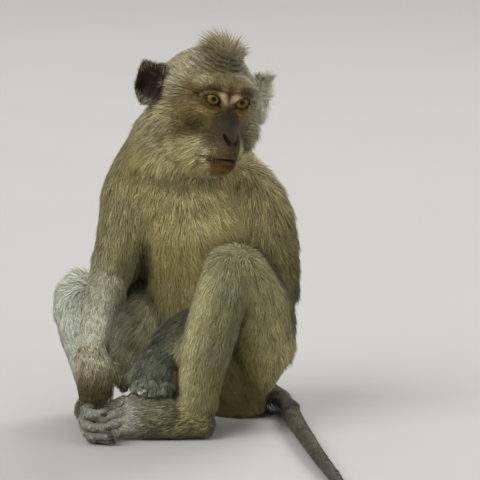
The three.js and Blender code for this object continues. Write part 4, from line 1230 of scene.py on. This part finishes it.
def tuftMesh(name, root, normal, lie, numbers, tone, uv):
    # Each tuft is a three-sided spindle: its root sunk in the skin, a ring, and the tip. The ring stands at
    # two thirds of the tip's height, so that the tuft rises and then lies over. Tips draw into locks.
    n = len(root)
    length, height, width = (numbers[:, k:k + 1] * mm for k in range(3))
    side = np.cross(lie, normal)
    sway = coatPlan["sway"] * ripple(root, coatPlan["swaySize"] * mm, 5)[:, None]
    sway = sway + coatPlan["stray"] * rng.normal(size=(n, 1))
    lie = unit(lie + side * sway)
    side = np.cross(lie, normal)
    length = length * rng.uniform(0.7, 1.2, (n, 1))
    height = np.minimum(height * rng.uniform(0.5, 1.25, (n, 1)), length * 0.97)
    flat = np.sqrt(np.maximum(length**2 - height**2, 0))
    ring = root + lie * flat * 0.40 + normal * height * 0.66
    tip = root + lie * flat + normal * height + side * length * rng.normal(0, 0.05, (n, 1))
    pull = coatPlan["lockPull"] * ramp(length, 4 * mm, 12 * mm)
    drawn = (lockMeans(root, tip - lie * flat) + lie * flat - tip) * pull
    tip = tip + drawn
    ring = ring + drawn * 0.4
    sunk = root - normal * np.minimum(0.7 * mm, 0.3 * height) - lie * width * 0.3
    axis = unit(tip - sunk)
    across = unit(np.cross(axis, normal) + 1e-6)
    over = np.cross(across, axis)
    half = width / 2 * rng.uniform(0.7, 1.3, (n, 1))
    corners = [ring + across * half * math.cos(a) + over * half * 0.8 * math.sin(a)
               for a in (0.52, 2.62, 4.71)]
    points = np.stack([sunk, *corners, tip], 1)
    points[..., 2] = np.maximum(points[..., 2], 0.6 * mm)
    base = (np.arange(n) * 5)[:, None]
    one = np.array([(0, 1, 2), (0, 2, 3), (0, 3, 1), (2, 1, 4), (3, 2, 4), (1, 3, 4)])
    faces = (base[:, None] + one[None]).reshape(-1, 3)
    # the patch of each tuft on the unwrap
    patch = np.array([[(0.17, 0), (0, 0.4), (0.33, 0.4)], [(0.5, 0), (0.33, 0.4), (0.67, 0.4)],
                      [(0.83, 0), (0.67, 0.4), (1, 0.4)], [(0.33, 0.4), (0, 0.4), (0.17, 1)],
                      [(0.67, 0.4), (0.33, 0.4), (0.5, 1)], [(1, 0.4), (0.67, 0.4), (0.83, 1)]])
    patch = patch * coatPlan["patch"]
    obj = objectFrom(name, points.reshape(-1, 3), faces)
    own = points[:, 1:4] - points[:, 1:4].mean(1, keepdims=True)
    shaded = unit(normal[:, None] * coatPlan["softness"] + unit(own)).swapaxes(0, 1)
    soft = np.stack([normal, *shaded, normal], 1)
    obj.data.normals_split_custom_set_from_vertices(soft.reshape(-1, 3))
    layer = obj.data.uv_layers.new(name="OFBake")
    layer.data.foreach_set("uv", (uv[:, None, None] + patch[None]).astype(np.float32).ravel())
    onHead = int(name in ("coat_face", "coat_crown", "coat_cheeks"))
    byTuft, byLock, ticking, frost, size = stronger.get(name, coatPlan["contrast"])
    level = 1 + byTuft * rng.normal(size=(n, 1)) + 0.09 * ripple(root, 13 * mm, 8)[:, None]
    locks = lockMeans(root, rng.normal(size=(n, 1)), size)
    locks = locks / max(locks.std(), 1e-6)
    level = level + byLock * locks + frost * ramp(locks, 0.3, 1.4)
    warm = 1 + 0.06 * rng.normal(size=(n, 1)) * np.array([[0.6, 0.1, -1.0]])
    tone = linear(tone) * np.array(coatPlan["gain"]) * np.clip(level, 0.3, 2.6) * warm
    tone = tone * (np.array(coatPlan["headGain"]) if onHead or name == "coat_ears" else 1)
    shades = [tone * coatPlan["rootShade"] * streaks(root)[:, None]]
    shades += [tone * np.array(coatPlan["ringTint"]) * streaks(ring)[:, None]] * 3
    dark = 1 - ticking * rng.random((n, 1)) ** 2
    shades.append(tone * np.array(coatPlan["tipTint"]) * dark * streaks(tip)[:, None])
    addColour(obj.data, "paint", np.stack(shades, 1).reshape(-1, 3).clip(0, 1))
    return obj


def coatObjects():
    corners, share = rootsOverSkin(int(coatPlan["tufts"] * (1)))
    main = corners[np.arange(len(corners)), share.argmax(1)]
    root, normal = readAt(skinPoints, corners, share), unit(readAt(skinNormals, corners, share))
    lie, numbers = readAt(coatLie, corners, share), readAt(coatNumbers, corners, share)
    lie = unit(lie - dot(lie, normal) * normal)
    tone = readAt(coatTone, corners, share)
    owner = boneNear[main].argmin(1)
    along = boneAlong[main, owner]
    p = toHead(root)
    onHead = (skinPart[main] == skinParts["head"]) | ((owner == boneNames.index("neck")) & (p[:, 2] > -40))
    onHead &= skinPart[main] < 2
    onEar = (skinPart[main] == 2) | (skinPart[main] == 3)
    face = onHead & (p[:, 0] > 24) & (p[:, 2] < 16)
    chosen = {
        "coat_face": face,
        "coat_crown": onHead & ~face & (p[:, 2] > 6),
        "coat_cheeks": onHead & ~face & (p[:, 2] <= 6),
        "coat_ears": onEar,
    }
    rest = ~(onHead | onEar)
    for piece, names in coatPieces.items():
        chosen[piece] = rest & np.isin(owner, [boneNames.index(name) for name in names])
    chosen["coat_chest"] = chosen["coat_chest"] & (normal[:, 1] <= 0)
    chosen["coat_back"] = chosen["coat_back"] & (normal[:, 1] > 0)
    made = []
    for piece, pick in chosen.items():
        uv = unwrapOf(piece, root[pick], owner[pick], along[pick])
        made.append(tuftMesh(piece, root[pick], normal[pick], lie[pick], numbers[pick], tone[pick], uv))
        print(" ", piece, int(pick.sum()), "tufts")
    return made


coats = coatObjects()
print("coat:", sum(len(o.data.polygons) for o in coats), "triangles in", len(coats), "pieces")


# finishes

def newMaterial(name):
    material = bpy.data.materials.new(name)
    material.use_nodes = True
    nodes, links = material.node_tree.nodes, material.node_tree.links
    return material, nodes, links, nodes["Principled BSDF"]


def noiseNode(nodes, links, scale, detail, rough=0.55):
    place = nodes.new("ShaderNodeTexCoord")
    noise = nodes.new("ShaderNodeTexNoise")
    noise.inputs["Scale"].default_value = scale
    noise.inputs["Detail"].default_value = detail
    noise.inputs["Roughness"].default_value = rough
    links.new(place.outputs["Object"], noise.inputs["Vector"])
    return noise


def rangeNode(nodes, links, source, low, high):  # 0 to 1 spread over low to high
    spreadNode = nodes.new("ShaderNodeMapRange")
    spreadNode.inputs["To Min"].default_value = low
    spreadNode.inputs["To Max"].default_value = high
    links.new(source, spreadNode.inputs["Value"])
    return spreadNode


def bumpFrom(nodes, links, shader, height, strength, distance):
    bump = nodes.new("ShaderNodeBump")
    bump.inputs["Strength"].default_value = strength
    bump.inputs["Distance"].default_value = distance
    links.new(height, bump.inputs["Height"])
    links.new(bump.outputs["Normal"], shader.inputs["Normal"])


def paintedFinish(name, noise, tones, roughness, settings):
    # The piece's own colour times a grey factor. Fine noise spreads the factor over tones and sets roughness.
    material, nodes, links, shader = newMaterial(name)
    grain = noiseNode(nodes, links, *noise)
    factor = rangeNode(nodes, links, grain.outputs["Fac"], *tones)
    paint = nodes.new("ShaderNodeAttribute")
    paint.attribute_name = "paint"
    times = nodes.new("ShaderNodeMix")
    times.data_type = "RGBA"
    times.blend_type = "MULTIPLY"
    times.inputs["Factor"].default_value = 1
    links.new(paint.outputs["Color"], times.inputs["A"])
    links.new(factor.outputs["Result"], times.inputs["B"])
    links.new(times.outputs["Result"], shader.inputs["Base Color"])
    rough = rangeNode(nodes, links, grain.outputs["Fac"], *roughness)
    links.new(rough.outputs["Result"], shader.inputs["Roughness"])
    for socket, value in settings.items():
        shader.inputs[socket].default_value = value
    return material, nodes, links, shader, grain


def coatFinish():  # hair, streaked, with a soft silky edge
    soft = {"Specular IOR Level": 0.25, "Sheen Weight": 0.15, "Sheen Roughness": 0.4}
    return paintedFinish("agouti_coat", (900, 2), (0.55, 1.45), (0.5, 0.75), soft)[0]


def skinFinish():
    # Pores and fine creases, from a cell pattern's edges plus noise, a little moist where it is bare.
    material, nodes, links, shader, _ = paintedFinish("creased_skin", (260, 5, 0.6), (0.7, 1.3), (0.46, 0.74),
                                                      {"Specular IOR Level": 0.14})
    place = nodes.new("ShaderNodeTexCoord")
    cells = nodes.new("ShaderNodeTexVoronoi")
    cells.feature = "DISTANCE_TO_EDGE"
    cells.inputs["Scale"].default_value = 620
    links.new(place.outputs["Object"], cells.inputs["Vector"])
    crease = rangeNode(nodes, links, cells.outputs["Distance"], 0, 1)
    crease.inputs["From Max"].default_value = 0.25
    fine = noiseNode(nodes, links, 1500, 3)
    add = nodes.new("ShaderNodeMath")
    add.operation = "ADD"
    links.new(crease.outputs["Result"], add.inputs[0])
    links.new(fine.outputs["Fac"], add.inputs[1])
    bumpFrom(nodes, links, shader, add.outputs["Value"], 0.35, 0.0004)
    return material


def eyeFinish():  # iris and white under a wet cornea
    wet = {"Specular IOR Level": 0.12, "Coat Weight": 0.16, "Coat Roughness": 0.05}
    return paintedFinish("wet_eye", (1800, 3), (0.75, 1.25), (0.2, 0.4), wet)[0]


def nailFinish():  # horn, finely grained and faintly glossy
    material, nodes, links, shader, grain = paintedFinish("dark_horn", (2200, 2), (0.7, 1.3), (0.3, 0.5), {})
    bumpFrom(nodes, links, shader, grain.outputs["Fac"], 0.2, 0.0002)
    return material


coatMaterial = coatFinish()
for coat in coats:
    coat.data.materials.append(coatMaterial)
    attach(coat, "root")
skin.data.materials.clear()
skin.data.materials.append(skinFinish())
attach(skin, "root")
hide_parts(*[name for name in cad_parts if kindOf(name) != "eye"])
nails.data.materials.append(nailFinish())
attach(nails, "root")
eyeMaterial = eyeFinish()
for eye in eyes:
    eye.data.materials.append(eyeMaterial)
print("finishes on")


# the studio: a pale floor that curves up all round, soft light, and the camera

studio = {
    "camera": ((0.0, -2.934, 0.624), (0.005, 0.036, 0.170), 225),  # place, aim and lens
    "key": ((-1.35, -1.35, 1.75), 40.0, 2.7),  # where from, how wide it looks in degrees, and strength
    "fill": ((1.5, -2.2, 0.9), 60.0, 1.4),
    "rim": ((0.9, 1.6, 1.5), 30.0, 1.8),
    "world": (0.93, 0.93, 0.92), "worldStrength": 0.85,
    "flat": 6.0, "curve": 3.0, "wall": 5.0,  # the floor's flat radius, its curve's radius and its height in m
    "floor": (0.37, 0.365, 0.35),
}


def aimed(obj, place, aim):
    back = np.array(place) - np.array(aim)
    obj.location = place
    obj.rotation_mode = "QUATERNION"
    obj.rotation_quaternion = type(cadBox[0])((-back).tolist()).to_track_quat("-Z", "Y")


def broadLight(name):  # one wide even light from far off
    place, width, strength = studio[name]
    light = bpy.data.lights.new(name, "SUN")
    light.angle, light.energy = math.radians(width), strength
    obj = bpy.data.objects.new(name + "_light", light)
    bpy.context.scene.collection.objects.link(obj)
    aimed(obj, place, (0, 0, 0))


def floorFinish():
    # Matt painted boards: faint clouds of tone and a fine tooth.
    material, nodes, links, shader = newMaterial("pale_floor")
    clouds = noiseNode(nodes, links, 1.6, 4)
    factor = rangeNode(nodes, links, clouds.outputs["Fac"], 0.96, 1.04)
    times = nodes.new("ShaderNodeVectorMath")
    times.operation = "MULTIPLY"
    times.inputs[0].default_value = studio["floor"]
    links.new(factor.outputs["Result"], times.inputs[1])
    links.new(times.outputs["Vector"], shader.inputs["Base Color"])
    tooth = noiseNode(nodes, links, 420, 3)
    bumpFrom(nodes, links, shader, tooth.outputs["Fac"], 0.12, 0.0003)
    shader.inputs["Roughness"].default_value = 0.85
    return material


def floorMesh():
    # A disc whose edge sweeps up a quarter circle into a wall: radius and height by the share of the profile.
    flat, curve, wall = studio["flat"], studio["curve"], studio["wall"]
    quarter = np.linspace(0, np.pi / 2, 16)
    radius = np.concatenate([[0.5, 2.0, 4.0], flat + curve * np.sin(quarter), [flat + curve]])
    height = np.concatenate([[0, 0, 0], curve * (1 - np.cos(quarter)), [wall]])
    spin = np.linspace(0, 2 * np.pi, 72, endpoint=False)
    radius, height = radius[:, None], height[:, None]
    rings = np.stack([radius * np.cos(spin), radius * np.sin(spin), height + 0 * spin], -1)
    n, m = rings.shape[:2]
    i, j = np.arange(m), (np.arange(m) + 1) % m
    base = (np.arange(n - 1) * m)[:, None]
    faces = np.concatenate([np.stack([base + i, base + m + i, base + m + j], -1).reshape(-1, 3),
                            np.stack([base + i, base + m + j, base + j], -1).reshape(-1, 3),
                            np.stack([np.full(m, n * m), i, j], -1)])
    return objectFrom("floor", np.vstack([rings.reshape(-1, 3), [[0, 0, 0]]]), faces)


def stageAndCamera():
    floor = floorMesh()
    floor.data.materials.append(floorFinish())
    for name in ("key", "fill", "rim"):
        broadLight(name)
    world = bpy.data.worlds.new("studio")
    world.use_nodes = True
    world.node_tree.nodes["Background"].inputs["Color"].default_value = (*studio["world"], 1)
    world.node_tree.nodes["Background"].inputs["Strength"].default_value = studio["worldStrength"]
    bpy.context.scene.world = world
    place, aim, lens = studio["camera"]
    camera = bpy.data.objects.new("camera", bpy.data.cameras.new("camera"))
    camera.data.lens = lens
    camera.data.sensor_width = 36
    bpy.context.scene.collection.objects.link(camera)
    aimed(camera, place, aim)
    bpy.context.scene.camera = camera
    bpy.context.scene.view_settings.view_transform = "Standard"


stageAndCamera()
print("studio set")
